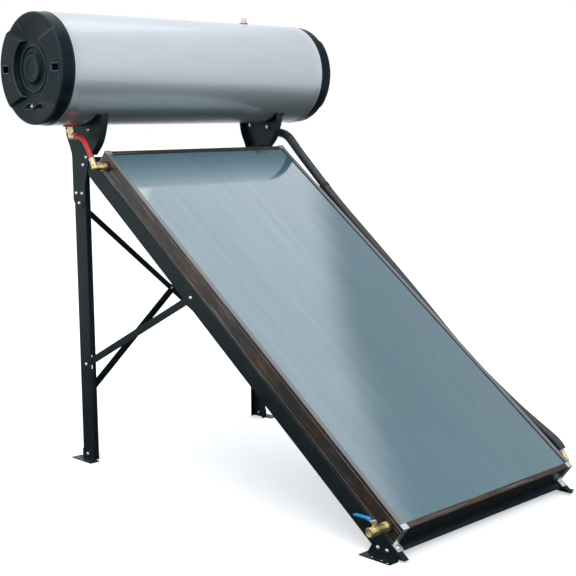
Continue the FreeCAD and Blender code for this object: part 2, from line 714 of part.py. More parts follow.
# saddles: flanged plates between the legs, the side rails and the tank
REAR_LINE = [(1872, 1478), (1859, 1430), (1848, 1380), (1828, 1339), (1816, 1300)]
FRONT_LINE = [(1600, 1478), (1603, 1440), (1616, 1398), (1633, 1361), (1662, 1328), (1684, 1307)]
LOWER_LINE = [(1684, 1307), (1702, 1280), (1712, 1240), (1730, 1180), (1730, 1117), (1756, 1085), (1790, 1085),
              (1816, 1117), (1816, 1300)]


def curve(points, n=14):
    c = Part.BSplineCurve()
    c.interpolate([V(0, y, z) for y, z in points])
    a, b = c.FirstParameter, c.LastParameter
    return [c.value(a + (b - a) * i / (n - 1)) for i in range(n)]


def flange_strip(points, width, thick, x0, side):
    """Strip that follows a curved edge on its inner side."""
    line = curve(points)
    inner = []
    for i, p in enumerate(line):
        t = (line[min(i + 1, len(line) - 1)] - line[max(i - 1, 0)]).normalize()
        inner.append(p + V(0, -t.z, t.y) * (thick * side))
    e1 = Part.BSplineCurve()
    e1.interpolate(line)
    e2 = Part.BSplineCurve()
    e2.interpolate(inner)
    wire = Part.Wire([e1.toShape(), Part.makeLine(line[-1], inner[-1]),
                      e2.toShape(), Part.makeLine(inner[0], line[0])])
    f = Part.Face(Part.Wire(Part.__sortEdges__(wire.Edges)))
    f.translate(V(x0, 0, 0))
    return f.extrude(V(width, 0, 0))


def saddle(label, s):
    st, wo, fl = VALUES["sheet_steel"], VALUES["web_out"], VALUES["saddle_flange"]
    fr, rr = curve(FRONT_LINE), curve(REAR_LINE)
    e1 = Part.BSplineCurve()
    e1.interpolate(fr)
    e2 = Part.BSplineCurve()
    e2.interpolate(rr)
    edges = [e1.toShape(), e2.toShape(), Part.makeLine(fr[0], rr[0])]
    low = [V(0, y, z) for y, z in LOWER_LINE]
    edges += [Part.makeLine(low[i], low[i + 1]) for i in range(len(low) - 1)]
    web = Part.Face(Part.Wire(Part.__sortEdges__(edges)))
    web.translate(V(-wo - st, 0, 0))
    web = web.extrude(V(st, 0, 0))
    strips = [flange_strip(FRONT_LINE, fl, st, -wo - st, 1), flange_strip(REAR_LINE, fl, st, -wo - st, -1)]
    solid = web.fuse(strips)
    belly = Part.makeCylinder(VALUES["jacket_radius"] + VALUES["cradle_thick"], 200,
                              V(-wo - 100, VALUES["tank_y"], VALUES["tank_z"]), V(1, 0, 0))
    tools = [belly]
    for y, z in SADDLE_LEG + SADDLE_RAIL + CRADLE:
        tools.append(Part.makeCylinder(VALUES["hole_m"], 20, V(-wo - 10, y, z), V(1, 0, 0)))
    solid = solid.cut(tools).removeSplitter()
    if s > 0:
        solid = solid.mirror(V(0, 0, 0), V(1, 0, 0))
    return node(shaped(label, solid), label)


saddle("saddle_left", -1)
saddle("saddle_right", 1)


def cradles():
    R, t, w = VALUES["jacket_radius"], VALUES["cradle_thick"], VALUES["cradle_wide"]
    half = math.degrees(math.asin(VALUES["cradle_reach"] / (R + t)))
    wo, st = VALUES["web_out"], VALUES["sheet_steel"]
    out = []
    for s in (-1, 1):
        x = (-wo - 23) if s < 0 else (wo + 23 - w)
        c = V(x, VALUES["tank_y"], VALUES["tank_z"])
        # sector that opens from straight down, both ways
        ring_ = Part.makeCylinder(R + t, w, V(0, 0, 0), V(0, 0, 1), 2 * half).cut(Part.makeCylinder(R, w))
        ring_.rotate(V(0, 0, 0), V(0, 0, 1), -half)
        ring_.rotate(V(0, 0, 0), V(0, 1, 0), 90)      # angle 0 now points to -Z
        ring_.translate(c)
        tabs = []
        for y, z in CRADLE:
            x0 = -wo if s < 0 else wo - st
            tab = Part.makeBox(st, 30, 60, V(x0, y - 15, z - 14))
            keep = Part.makeCylinder(R + t, 400, V(x0 - 100, VALUES["tank_y"], VALUES["tank_z"]), V(1, 0, 0))
            tab = tab.cut([keep, Part.makeCylinder(VALUES["hole_m"], 20, V(x0 - 8, y, z), V(1, 0, 0))])
            tabs.append(tab)
        out.append(ring_.fuse(tabs).removeSplitter())
    return Part.makeCompound([o.Solids[0] for o in out])


node(shaped("tank_cradles", cradles()), "tank_cradles")

# ======================================================================== tank
JR, JH, JW = D.jacket_radius, D.jacket_half, D.jacket_wall
NL, NT = D.nipple_low, D.nipple_top_x
bd = body("tank_jacket")
spin(bd, "Revolution", [(-JH, JR), (JH, JR), (JH, JR - JW), (-JH, JR - JW)])
pocket(bd, "z", 0, 300, [], [(NT, 0, D.nipple_radius)])
pocket(bd, "z", 0, 300, [], [(-NL, 0, D.nipple_radius), (NL, 0, D.nipple_radius)], back=True)
node(bd, "tank_jacket", "tank")


def end_cap(label, turn):
    bd = body(label)
    R, E, F, T = D.cap_radius, D.cap_edge, D.cap_floor, D.cap_wall
    H = D.tank_half
    S0, W = D.cap_start, D.cap_wedge
    spin(bd, "Revolution", [(S0, Q(0)), (S0, JR - JW), (S0 + 10, JR - JW), (S0 + 10, R), (H - E, R),
                            (H - E * 0.62, R - E * 0.08), (H - E * 0.29, R - E * 0.29), (H - E * 0.08, R - E * 0.62),
                            (H, R - E), (H, Q(0))])
    # central recess with hub, groove and ridge ring
    spin(bd, "Groove", [(F + 13, Q(0)), (F + 13, Q(52)), (F + 10, Q(60)), (F + 1, Q(68)), (F - 1.5, Q(71)),
                        (F - 1.5, Q(84)), (F + 4, Q(89)), (F + 5, Q(92)), (F + 4, Q(95)), (F, Q(99)),
                        (F, Q(125)), (H, Q(132)), (H + 5, Q(132)), (H + 5, Q(0))])
    # top and bottom wedges between the two raised lobes
    for s in (1, -1):
        pocket(bd, "x", H + 2, H + 2 - W, [[(0, s * 60), (60, s * 114), (185, s * 158), (185, s * 300),
                                            (-185, s * 300), (-185, s * 158), (-60, s * 114)]], back=True)
    # hollow behind the face
    spin(bd, "Groove", [(S0 - 2, Q(0)), (F - T - 1.5, Q(0)), (F - T - 1.5, Q(100)), (F - T, Q(104)),
                        (F - T, R - T), (S0 - 2, R - T)])
    for s in (1, -1):
        pocket(bd, "x", F - T - 1, H - F + 1, [[(s * 140, -112), (s * 172, -112), (s * 198, -60), (s * 208, 0),
                                               (s * 198, 60), (s * 172, 112), (s * 140, 112)]])
    through(bd, "x", [[(155, -12), (201, -12), (201, 12), (155, 12)], [(-155, -12), (-201, -12), (-201, 12), (-155, 12)]])
    # screw boss in the lower wedge
    pad(bd, "x", W, 7, [[(-30, -153), (-22, -140), (22, -140), (30, -153), (18, -163), (-18, -163)]])
    pad(bd, "x", F - 30, 34, [], [(0, -148, 8)])
    through(bd, "x", rings=[(0, -148, 2.5)])
    # moulded rib in the upper wedge
    pad(bd, "x", W - 1, 4, [[(60, 152), (88, 183), (91, 181), (63, 150)]])
    return node(bd, label, "tank", turn)


end_cap("end_cap_left", True)
end_cap("end_cap_right", False)

F = D.cap_wedge
sc = []
for s in (-1, 1):
    tag = "a" if s < 0 else "b"
    xs = s * (F + 7)
    if s < 0:
        sc.append(fuse("cap_screw_" + tag, [
            rod("cap_screw_head_" + tag, "x", 5.5, xs - 4, 0, -148, 4),
            rod("cap_screw_shank_" + tag, "x", 2.5, xs - 1, 0, -148, 36)]))
    else:
        sc.append(fuse("cap_screw_" + tag, [
            rod("cap_screw_head_" + tag, "x", 5.5, xs, 0, -148, 4),
            rod("cap_screw_shank_" + tag, "x", 2.5, xs - 35, 0, -148, 36)]))
node(fuse("end_cap_screws", sc), "end_cap_screws", "tank")

VR, VH, VD, VW = D.vessel_radius, D.vessel_half, D.vessel_dish, D.vessel_wall
DISH = [(0.0, 1.0), (0.32, 0.965), (0.6, 0.86), (0.82, 0.66), (0.95, 0.38), (1.0, 0.0)]


def vessel_line(shrink):
    r, d = VR - shrink, VD - shrink
    right = [(VH + d * k, r * f) for k, f in DISH]
    left = [(-(VH + d * k), r * f) for k, f in reversed(DISH)]
    return left + right


vessel = body("vessel_shell")
spin(vessel, "Revolution", vessel_line(0) + list(reversed(vessel_line(VW))))
solid_vessel = body("vessel_solid")
spin(solid_vessel, "Revolution", vessel_line(0))
neck = rod("vessel_neck", "x", D.neck_radius, -D.neck_face, 0, 0, D.neck_face - VH)
neck_keep = cut("vessel_neck_trim", neck, [solid_vessel])
neck_in = rod("vessel_neck_in", "x", D.neck_bore, -D.neck_face - 5, 0, 0, D.neck_face - VH)
ports = [rod("vessel_port_%d" % i, "z", D.nipple_bore, x, 0, z, 40)
         for i, (x, z) in enumerate(((NT, 150), (-NL, -190), (NL, -190)))]
studs = []
for i in range(6):
    a = math.radians(60 * i + 30)
    studs.append(rod("vessel_stud_%d" % i, "x", D.bolt_shank, -D.neck_face - 5, 52 * math.cos(a), 52 * math.sin(a), 17))
node(cut("inner_tank", fuse("vessel_set", [vessel, neck_keep]), [neck_in] + ports + studs), "inner_tank", "tank")

foam = rod("foam_block", "x", JR - JW, -D.foam_half, 0, 0, D.foam_half * 2)
neck_room = rod("foam_neck", "x", D.neck_radius, -D.foam_half - 5, 0, 0, D.foam_half + 5 - VH)
nip_holes = [rod("foam_nip_top", "z", D.nipple_radius, NT, 0, 100, 150)]
nip_holes += [rod("foam_nip_%d" % i, "z", D.nipple_radius, x, 0, -250, 150) for i, x in enumerate((-NL, NL))]
node(cut("tank_insulation", foam, [solid_vessel, neck_room] + nip_holes), "tank_insulation", "tank")

nips = []
top_tools = [rod("nipple_thread_room", "z", 20, NT, 0, D.nipple_top_end - D.thread_long - 2, 40)]
top_thread = rod("nipple_thread", "z", D.thread_radius, NT, 0, D.nipple_top_end - D.thread_long, D.thread_long)
top_neck = rod("nipple_relief", "z", D.thread_radius - 0.8, NT, 0, D.nipple_top_end - D.thread_long - 3, 4)
top_bore = rod("nipple_thread_bore", "z", D.nipple_bore, NT, 0, 100, 200)
for i, (x, z0, ln) in enumerate(((NT, Q(0), D.nipple_top_end), (-NL, -D.nipple_low_end, D.nipple_low_end),
                                 (NL, -D.nipple_low_end, D.nipple_low_end))):
    nips.append(cut("nipple_%d" % i, rod("nipple_tube_%d" % i, "z", D.nipple_radius, x, 0, z0, ln),
                    [rod("nipple_hole_%d" % i, "z", D.nipple_bore, x, 0, z0 - 5, ln + 10),
                     rod("nipple_weld_%d" % i, "x", VR, x - 40, 0, 0, 80)]))
nips[0] = fuse("nipple_top", [cut("nipple_plain", nips[0], top_tools),
                              cut("nipple_end", fuse("nipple_end_set", [top_thread, top_neck]), [top_bore])])
node(fuse("tank_nipples", nips), "tank_nipples", "tank")

seals = []
for i, (x, z0, ln, r) in enumerate(((NT, JR - 6, as_q(10), D.seal_top_radius), (-NL, -D.seal_drop, as_q(14), D.seal_radius),
                                    (NL, -D.seal_drop, as_q(14), D.seal_radius))):
    seals.append(cut("seal_%d" % i, rod("seal_disc_%d" % i, "z", r, x, 0, z0, ln),
                     [rod("seal_hole_%d" % i, "z", D.nipple_radius, x, 0, z0 - 5, ln + 10),
                      rod("seal_fit_%d" % i, "x", JR, x - 40, 0, 0, 80)]))
node(fuse("nipple_seals", seals), "nipple_seals", "tank")

NF = D.neck_face
six = [(52 * math.cos(math.radians(60 * i + 30)), 52 * math.sin(math.radians(60 * i + 30))) for i in range(6)]
bd = body("heater_gasket")
pad(bd, "x", -(NF + 2), 2, [], [(0, 0, D.neck_radius), (0, 0, D.neck_bore)])
through(bd, "x", rings=[(y, z, D.bolt_shank) for y, z in six])
node(bd, "heater_gasket", "tank")

bd = body("heater_flange")
pad(bd, "x", -(NF + 8), 6, [], [(0, 0, D.neck_radius)])
through(bd, "x", rings=[(y, z, D.hole_m) for y, z in six] + [(-15, -12, 4), (15, -12, 4), (0, 22, 4)])
node(bd, "heater_flange", "tank")

# U-shaped sheathed element through the flange, terminals outside
path = Part.Wire([Part.makeLine(V(-684, -15, -12), V(-300, -15, -12)),
                  Part.Arc(V(-300, -15, -12), V(-285, 0, -12), V(-300, 15, -12)).toShape(),
                  Part.makeLine(V(-300, 15, -12), V(-684, 15, -12))])
prof = Part.Wire([Part.makeCircle(4, V(-684, -15, -12), V(1, 0, 0))])
node(shaped("heating_element", path.makePipeShell([prof], True, True)), "heating_element", "tank")

rod_big = rod("anode_bar", "x", 10.5, -(NF - 6), 0, 22, 380)
rod_stud = rod("anode_stud", "x", 4, -(NF + 14), 0, 22, 40)
rod_nut = rod("anode_head", "x", 7, -(NF + 14), 0, 22, 6)
node(fuse("anode_rod", [rod_big, rod_stud, rod_nut]), "anode_rod", "tank")

# =================================================================== fasteners
def dome_bolt(p, d, grip, extra=9.0):
    """Domed head on the face at p, shank along d."""
    r, h = VALUES["bolt_head"], 4.6
    pts = [V(0, 0, -h), V(3.2, 0, -h * 0.93), V(5.8, 0, -h * 0.68), V(7.4, 0, -h * 0.34), V(r, 0, 0),
           V(VALUES["bolt_shank"], 0, 0), V(VALUES["bolt_shank"], 0, grip + extra - 1),
           V(VALUES["bolt_shank"] - 1, 0, grip + extra), V(0, 0, grip + extra), V(0, 0, -h)]
    s_ = Part.Face(Part.makePolygon(pts)).revolve(V(0, 0, 0), V(0, 0, 1), 360)
    s_ = s_.Solids[0] if s_.Solids else Part.Solid(s_)
    s_.Placement = FreeCAD.Placement(V(*p), FreeCAD.Rotation(V(0, 0, 1), V(*d)))
    return s_


def hex_nut(p, d, grip):
    af, h = VALUES["nut_flats"], VALUES["nut_high"]
    rr = af / math.sqrt(3)
    pts = [V(rr * math.cos(math.radians(60 * i)), rr * math.sin(math.radians(60 * i)), 0) for i in range(7)]
    n = Part.Face(Part.makePolygon(pts)).extrude(V(0, 0, h))
    n = n.common(Part.makeCone(af / 2 + 0.2 + h * 1.4, af / 2 + 0.2, h))
    n = n.cut(Part.makeCylinder(VALUES["bolt_shank"], h + 2, V(0, 0, -1)))
    rot = FreeCAD.Rotation(V(0, 0, 1), V(*d))
    n.Placement = FreeCAD.Placement(V(*p) + rot.multVec(V(0, 0, grip)), rot)
    return n.Solids[0]


def slope_point(u, v, w):
    a = math.radians(VALUES["tilt"])
    return (u, v * math.cos(a) - w * math.sin(a), VALUES["base_height"] + v * math.sin(a) + w * math.cos(a))


bolts, nuts = [], []


def join(p, d, grip):
    bolts.append(dome_bolt(p, d, grip))
    nuts.append(hex_nut(p, d, grip))


st, wo = VALUES["sheet_steel"], VALUES["web_out"]
an = math.radians(VALUES["tilt"])
down = (0, math.sin(an), -math.cos(an))
for s in (-1, 1):
    inward = (-s, 0, 0)
    for y, z in SADDLE_LEG + SADDLE_RAIL + CRADLE:
        join((s * (wo + st), y, z), inward, 2 * st)
    for y, z in FOOT_REAR + FOOT_FRONT:
        join((s * (wo + st), y, z), inward, 2 * st)
    join((s * wo, VALUES["side_leg_y"], VALUES["side_leg_z"]), inward, 2 * st)
    join((s * wo, VALUES["side_rail_y"], VALUES["side_rail_z"]), inward, 2 * st)
    for v in (-VALUES["clip_bolt"], VALUES["slope_length"] + VALUES["clip_bolt"]):
        join(slope_point(s * VALUES["bolt_line"], v, -VALUES["box_depth"] + VALUES["clip_thick"]), down,
             VALUES["clip_thick"] + 2 * st)
rear_face = VALUES["leg_front"] + VALUES["leg_deep"]
bb, lowz, highz = VALUES["brace_bolt"], VALUES["brace_low"], VALUES["brace_high"]
for x, z in ((-bb, highz), (bb, lowz)):
    join((x, rear_face - st, z), (0, 1, 0), 2 * st)          # brace outside the flange
for x, z in ((-bb, lowz), (bb, highz)):
    join((x, rear_face - 2 * st, z), (0, 1, 0), 2 * st)      # brace inside the flange
mid_z = (lowz + highz) / 2
join((0, rear_face - 2 * st, mid_z), (0, 1, 0), 3 * st)
spacer = Part.makeCylinder(10, st, V(0, rear_face - st, mid_z), V(0, 1, 0)).cut(
    Part.makeCylinder(VALUES["bolt_shank"], st + 2, V(0, rear_face - st - 1, mid_z), V(0, 1, 0)))
nuts.append(spacer)
for y, z in six:
    b = dome_bolt((-(VALUES["neck_face"] + 8), VALUES["tank_y"] + y, VALUES["tank_z"] + z), (1, 0, 0), 8, 10)
    bolts.append(b)
node(shaped("frame_bolts", Part.makeCompound(bolts)), "frame_bolts")
node(shaped("frame_nuts", Part.makeCompound(nuts)), "frame_nuts")

# ======================================================================= pipes
def bent_path(points):
    """Straight runs joined by tangent arcs; returns the wire, radii and length."""
    pts = [V(*p) for p in points]
    edges, radii, start = [], [], pts[0]
    for i in range(1, len(pts) - 1):
        a, b, c = pts[i - 1], pts[i], pts[i + 1]
        u, w = (a - b), (c - b)
        la, lb = u.Length, w.Length
        u.normalize()
        w.normalize()
        turn = math.pi - u.getAngle(w)
        cutback = 0.45 * min(la, lb)
        r = cutback / math.tan(turn / 2)
        p1, p2 = b + u * cutback, b + w * cutback
        bis = (u + w).normalize()
        centre = b + bis * (r / math.cos(turn / 2))
        top = centre - bis * r
        if (p1 - start).Length > 1e-6:
            edges.append(Part.makeLine(start, p1))
        edges.append(Part.Arc(p1, top, p2).toShape())
        start = p2
        radii.append(round(r, 1))
    edges.append(Part.makeLine(start, pts[-1]))
    wire = Part.Wire(edges)
    return wire, radii, wire.Length


def tube(points, r_out, r_in, title):
    wire, radii, length = bent_path(points)
    d = (V(*points[1]) - V(*points[0])).normalize()
    circle = Part.Wire([Part.makeCircle(r_out, V(*points[0]), d)])
    outer_ = wire.makePipeShell([circle], True, False)
    circle2 = Part.Wire([Part.makeCircle(r_in, V(*points[0]), d)])
    inner_ = wire.makePipeShell([circle2], True, False)
    t = outer_.cut(inner_)
    t = t.Solids[0]
    want = math.pi * (r_out ** 2 - r_in ** 2) * length
    print("%s radii %s length %.1f volume ratio %.4f" % (title, radii, length, t.Volume / want))
    return t, length


tank_y, tank_z = VALUES["tank_y"], VALUES["tank_z"]
elbow_z = tank_z - VALUES["elbow_drop"]
end_y = VALUES["elbow_end"]
nl = VALUES["nipple_low"]
fr_ = VALUES["fitting_radius"]


def tank_elbow(x, tip_r):
    """Socket on the nipple, turn, and a hose end pointing forward."""
    z_low = tank_z - VALUES["nipple_low_end"]
    socket = Part.makeCylinder(18, 14, V(x, tank_y, z_low - 4)).common(
        Part.makeBox(30.5, 40, 40, V(x - 15.25, tank_y - 20, z_low - 10)))
    barrel = Part.makeCylinder(fr_, z_low - 4 - elbow_z, V(x, tank_y, elbow_z))
    knee = Part.makeSphere(fr_, V(x, tank_y, elbow_z))
    tip = end_y + (0.7 if x > 0 else 0)
    out_ = Part.makeCylinder(fr_, tank_y - tip, V(x, tip, elbow_z), V(0, 1, 0))
    s_ = socket.fuse([barrel, knee, out_])
    bore = [Part.makeCylinder(VALUES["nipple_radius"], 30, V(x, tank_y, z_low)),
            Part.makeCylinder(7, 60, V(x, tank_y, elbow_z)),
            Part.makeSphere(7, V(x, tank_y, elbow_z)),
            Part.makeCylinder(7, 60, V(x, tank_y - 60, elbow_z), V(0, 1, 0))]
    return s_.cut(bore).removeSplitter().Solids[0]


node(shaped("tank_elbows", Part.makeCompound([tank_elbow(-nl, 0), tank_elbow(nl, 0)])), "tank_elbows")

ul = slope_point(0, VALUES["slope_length"] - VALUES["port_inset"], -VALUES["port_drop"])
lr = slope_point(0, VALUES["port_inset"], -VALUES["port_drop"])


def side_elbow(s, x_turn, origin, direction, reach):
    """Socket on a header end, turn in a sphere, outlet along a direction."""
    o = V(s * x_turn, origin[1], origin[2])
    start = VALUES["half_width"] + VALUES["grommet_thick"] + 0.5
    ax = V(s, 0, 0)
    p0 = V(s * start, origin[1], origin[2])
    hr = VALUES["header_radius"]
    hexa = [V(0, 17.5 * math.cos(math.radians(60 * i)), 17.5 * math.sin(math.radians(60 * i))) + p0 for i in range(7)]
    nut = Part.Face(Part.makePolygon(hexa)).extrude(ax * 16)
    barrel = Part.makeCylinder(hr + 2, x_turn - start, p0, ax)
    knee = Part.makeSphere(hr + 2.6, o)
    d = V(*direction).normalize()
    out_ = Part.makeCylinder(hr + 1, reach, o, d)
    s_ = nut.fuse([barrel, knee, out_])
    bore = [Part.makeCylinder(hr, VALUES["header_reach"] - start, p0, ax), Part.makeCylinder(7, x_turn - start, p0, ax),
            Part.makeSphere(7.3, o), Part.makeCylinder(7, reach + 5, o, d)]
    return s_.cut(bore).Solids[0], o + d * reach


hose_dir = (0, 0.5, 0.8660254)
elbow_a, hose_start = side_elbow(-1, nl, ul, hose_dir, 24)
low_a = slope_point(0, VALUES["port_inset"] + 60, -VALUES["port_drop"] + 26)
pipe_dir = V(0, low_a[1] - lr[1], low_a[2] - lr[2])
elbow_b, pipe_end = side_elbow(1, VALUES["low_elbow_x"], lr, tuple(pipe_dir), 34)
node(shaped("collector_elbows", Part.makeCompound([elbow_a, elbow_b])), "collector_elbows")

hs = (hose_start.x, hose_start.y, hose_start.z)
hose_pts = [hs, (-nl, hs[1] + 0.5 * 91, hs[2] + 0.8660254 * 91), (-nl, 1672.0, elbow_z), (-nl, end_y, elbow_z)]
hose, hose_len = tube(hose_pts, VALUES["hose_radius"], VALUES["hose_bore"], "red_hose")
node(shaped("red_hose", hose), "red_hose")


def sleeve(p, d, length, r_in, r_out):
    c = Part.makeCylinder(r_out, length, p, d)
    return c.cut(Part.makeCylinder(r_in, length + 2, p - d, d)).Solids[0]


fer = [sleeve(hose_start, V(*hose_dir), 17, VALUES["hose_radius"], VALUES["ferrule_radius"]),
       sleeve(V(-nl, end_y - 12, elbow_z), V(0, 1, 0), 12, VALUES["hose_radius"], VALUES["ferrule_radius"])]
node(shaped("hose_ferrules", Part.makeCompound(fer)), "hose_ferrules")

# cold return: (up the slope, off the face, across)
p_in = slope_point(0, 0, 0)
route = [(1960, 16, 553), (1780, 3, 547.5), (1600, -12, 545), (1370, -19, 545.5), (1140, -26, 545), (930, -37, 545.5),
         (760, -48.5, 545), (600, -52.5, 545.5), (440, -44, 545), (300, -33.5, 546.5), (190, -19, 550)]
pipe_pts = [(nl, end_y, elbow_z), (nl - 3, end_y - 76, elbow_z + 1.5)]
pipe_pts += [slope_point(x, v, w) for v, w, x in route]
knee = V(pipe_end.x, pipe_end.y, pipe_end.z) + pipe_dir.normalize() * 34
pipe_pts += [(knee.x, knee.y, knee.z), (pipe_end.x, pipe_end.y, pipe_end.z)]
pipe, pipe_len = tube(pipe_pts, VALUES["pipe_radius"], VALUES["pipe_bore"], "return_pipe")
node(shaped("return_pipe", pipe), "return_pipe")

# the foam covers the same route, short of both fittings
wire, radii, length = bent_path(pipe_pts)
d = (V(*pipe_pts[1]) - V(*pipe_pts[0])).normalize()
fat = wire.makePipeShell([Part.Wire([Part.makeCircle(VALUES["foam_radius"], V(*pipe_pts[0]), d)])], True, False)
core = wire.makePipeShell([Part.Wire([Part.makeCircle(VALUES["pipe_radius"], V(*pipe_pts[0]), d)])], True, False)
e_dir = V(pipe_dir)
trims = [Part.makeCylinder(30, 14, V(*pipe_pts[0]) - d * 2, d), Part.makeCylinder(30, 12, pipe_end - e_dir * 2, e_dir)]
sleeve_ = fat.cut([core] + trims).Solids[0]
node(shaped("return_insulation", sleeve_), "return_insulation")

# clip that ties the return pipe to the collector frame
ca, cb = V(*slope_point(547.5, 1780, 3)), V(*slope_point(545, 1600, -12))
cd = (cb - ca).normalize()
cc = ca + cd * 75
r1 = VALUES["foam_radius"]
clip_ring = Part.makeCylinder(r1 + 2, 18, cc - cd * 9, cd)
flat_end = VALUES["half_width"]
arm = Part.makeBox(cc.x - flat_end, 18, 2.5, V(flat_end, -9, -8))
pad_ = Part.makeBox(2.5, 18, 30, V(flat_end, -9, -30))
piece = arm.fuse(pad_)
tov = to_slope(cc.y, cc.z)
piece.Placement = FreeCAD.Placement(V(*slope_point(0, tov[0].v, tov[1].v)), FreeCAD.Rotation(V(1, 0, 0), VALUES["tilt"]))
clip_solid = clip_ring.fuse(piece).cut(Part.makeCylinder(r1, 60, cc - cd * 30, cd)).removeSplitter()
clip_solid = max(clip_solid.Solids, key=lambda k: k.Volume)
node(shaped("pipe_clip", clip_solid), "pipe_clip")

# ================================================================= drain valve
VX = D.valve_x
LY, LZ = Q(lr[1]), Q(lr[2])
start = HW + D.grommet_thick + 0.5


def vplace(obj, label):
    """Valve pieces are drawn about the port axis."""
    obj.Label = label
    place(obj, 0, D.y_shift + D.port_inset * COS + D.port_drop * SIN,
          D.base_height + D.port_inset * SIN - D.port_drop * COS)
    NODES.append(obj)


bd = body("valve_barrel")
BR = D.body_radius
spin(bd, "Revolution", [(-start, Q(0)), (-start, BR + 3), (-(start + 14), BR + 3), (-(start + 15.5), BR), (-(start + 20), BR - 1),
                        (-(VX - 17), BR - 1), (-(VX - 13), BR), (-(VX + 10), BR), (-(VX + 12), BR - 1.5), (-(VX + 13), BR - 1.5),
                        (-(VX + 13), BR + 0.5), (-(VX + 25), BR + 0.5), (-(VX + 26), BR - 0.5), (-(VX + 26), Q(0))])
boss = rod("valve_boss", "z", 8, -VX, 0, 0, 26)
tools = [rod("valve_inlet", "x", D.header_radius, -D.header_reach, 0, 0, 40),
         rod("valve_bore", "x", D.ball_bore, -620, 0, 0, 120),
         rod("valve_room", "x", 13, -(VX + 15), 0, 0, 30),
         rod("valve_mouth", "x", 10.5, -(VX + 27), 0, 0, 11),
         rod("valve_gland", "z", D.stem_radius + 0.05, -VX, 0, 0, 30)]
vplace(cut("valve_body", fuse("valve_casting", [bd, boss]), tools), "valve_body")

seat_parts = []
for s in (-1, 1):
    tag = "a" if s < 0 else "b"
    x0 = -VX - 15 if s < 0 else -VX + 6
    blank = rod("seat_blank_" + tag, "x", 13, x0, 0, 0, 9)
    port = rod("seat_port_" + tag, "x", D.ball_bore, x0 - 2, 0, 0, 13)
    ballroom = doc.addObject("Part::Sphere", "seat_ball_" + tag)
    put(ballroom, "Radius", D.ball_radius + 0.02)
    place(ballroom, -VX, 0, 0)
    seat_parts.append(cut("seat_" + tag, blank, [port, ballroom]))
vplace(fuse("valve_seats", seat_parts), "valve_seats")

ball = doc.addObject("Part::Sphere", "ball_blank")
put(ball, "Radius", D.ball_radius)
place(ball, -VX, 0, 0)
# closed: the bore lies across the port axis
ball_port = rod("ball_port", "y", D.ball_bore, -VX, -20, 0, 40)
ball_slot = box("ball_slot", -VX - 1.5, -VX + 1.5, -6, 6, 8.5, 15)
vplace(cut("valve_ball", ball, [ball_port, ball_slot]), "valve_ball")

stem_rod = rod("stem_rod", "z", D.stem_radius, -VX, 0, 11.2, 15.8)
stem_key = doc.addObject("Part::Box", "stem_key")
put(stem_key, "Length", 3)
put(stem_key, "Width", 8)
put(stem_key, "Height", 3.5)
place(stem_key, -VX - 1.5, -4, 8.5)
stem_top = rod("stem_thread", "z", 3, -VX, 0, 25, 14)
vplace(fuse("valve_stem", [stem_rod, stem_key, stem_top]), "valve_stem")

# lever strip: flat on the stem shoulder, bent up, then level
LT, LW = D.lever_thick, D.lever_wide
z0 = 27.0
bd = body("lever_strip")
LEVER_LINE = [(-9, z0), (11, z0), (27.5, z0 + 10), (86, z0 + 9.5), (86, z0 + 12), (26.6, z0 + 12.5),
              (10, z0 + LT), (-9, z0 + LT)]
pad(bd, "x", -(VX + LW / 2), LW, [LEVER_LINE])
hole = rod("lever_hole", "z", 3, -VX, 0, z0 - 5, 20)
vplace(cut("valve_lever", bd, [hole]), "valve_lever")

bd = body("grip_blank")
pad(bd, "x", -(VX + D.grip_radius + 2), D.grip_radius * 2 + 4,
    [[(21.8, z0 + 4.1), (28.4, z0 + 7.9), (85, z0 + 7.3), (88.5, z0 + 9), (88.5, z0 + 12.4),
      (85, z0 + 14.2), (25.6, z0 + 14.6), (18.3, z0 + 9.9)]])
dress(bd, "Fillet", 1.4, lambda e: abs(mid(e).x + 577) > 6 and mid(e).y > 26)
strip2 = body("grip_room")
pad(strip2, "x", -(VX + LW / 2), LW, [LEVER_LINE])
vplace(cut("lever_grip", bd, [strip2]), "lever_grip")

nut_c = V(-VALUES["valve_x"], 0, 29.5)
pts = [nut_c + V(8.6 * math.cos(math.radians(60 * i)), 8.6 * math.sin(math.radians(60 * i)), 0) for i in range(7)]
nut_s = Part.Face(Part.makePolygon(pts)).extrude(V(0, 0, 8)).cut(Part.makeCylinder(3, 10, nut_c + V(0, 0, -1)))
vplace(shaped("lever_nut", nut_s), "lever_nut")

# ============================================================= check and write
doc.recompute()
bad = [o.Name for o in doc.Objects if "Invalid" in o.State or "Error" in o.State]
if bad:
    raise SystemExit("failed objects: %s" % bad)
os.makedirs("parts", exist_ok=True)
seen = set()
total = None
for o in NODES:
    shape = o.Shape
    if shape.isNull() or not shape.isValid() or not shape.Solids:
        raise SystemExit("bad shape: " + o.Label)
    if o.Label in seen:
        raise SystemExit("name twice: " + o.Label)
    seen.add(o.Label)
    total = shape.BoundBox if total is None else total.united(shape.BoundBox)
for old in os.listdir("parts"):
    if old.endswith(".step") and old[:-5] not in seen:
        os.remove(os.path.join("parts", old))
for o in NODES:
    o.Shape.exportStep(os.path.join("parts", o.Label + ".step"))
print("nodes %d  box X %.2f %.2f  Y %.2f %.2f  Z %.2f %.2f" % (
    len(NODES), total.XMin, total.XMax, total.YMin, total.YMax, total.ZMin, total.ZMax))
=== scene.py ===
import math

import bpy
import bmesh
import numpy as np
from mathutils import Matrix, Vector


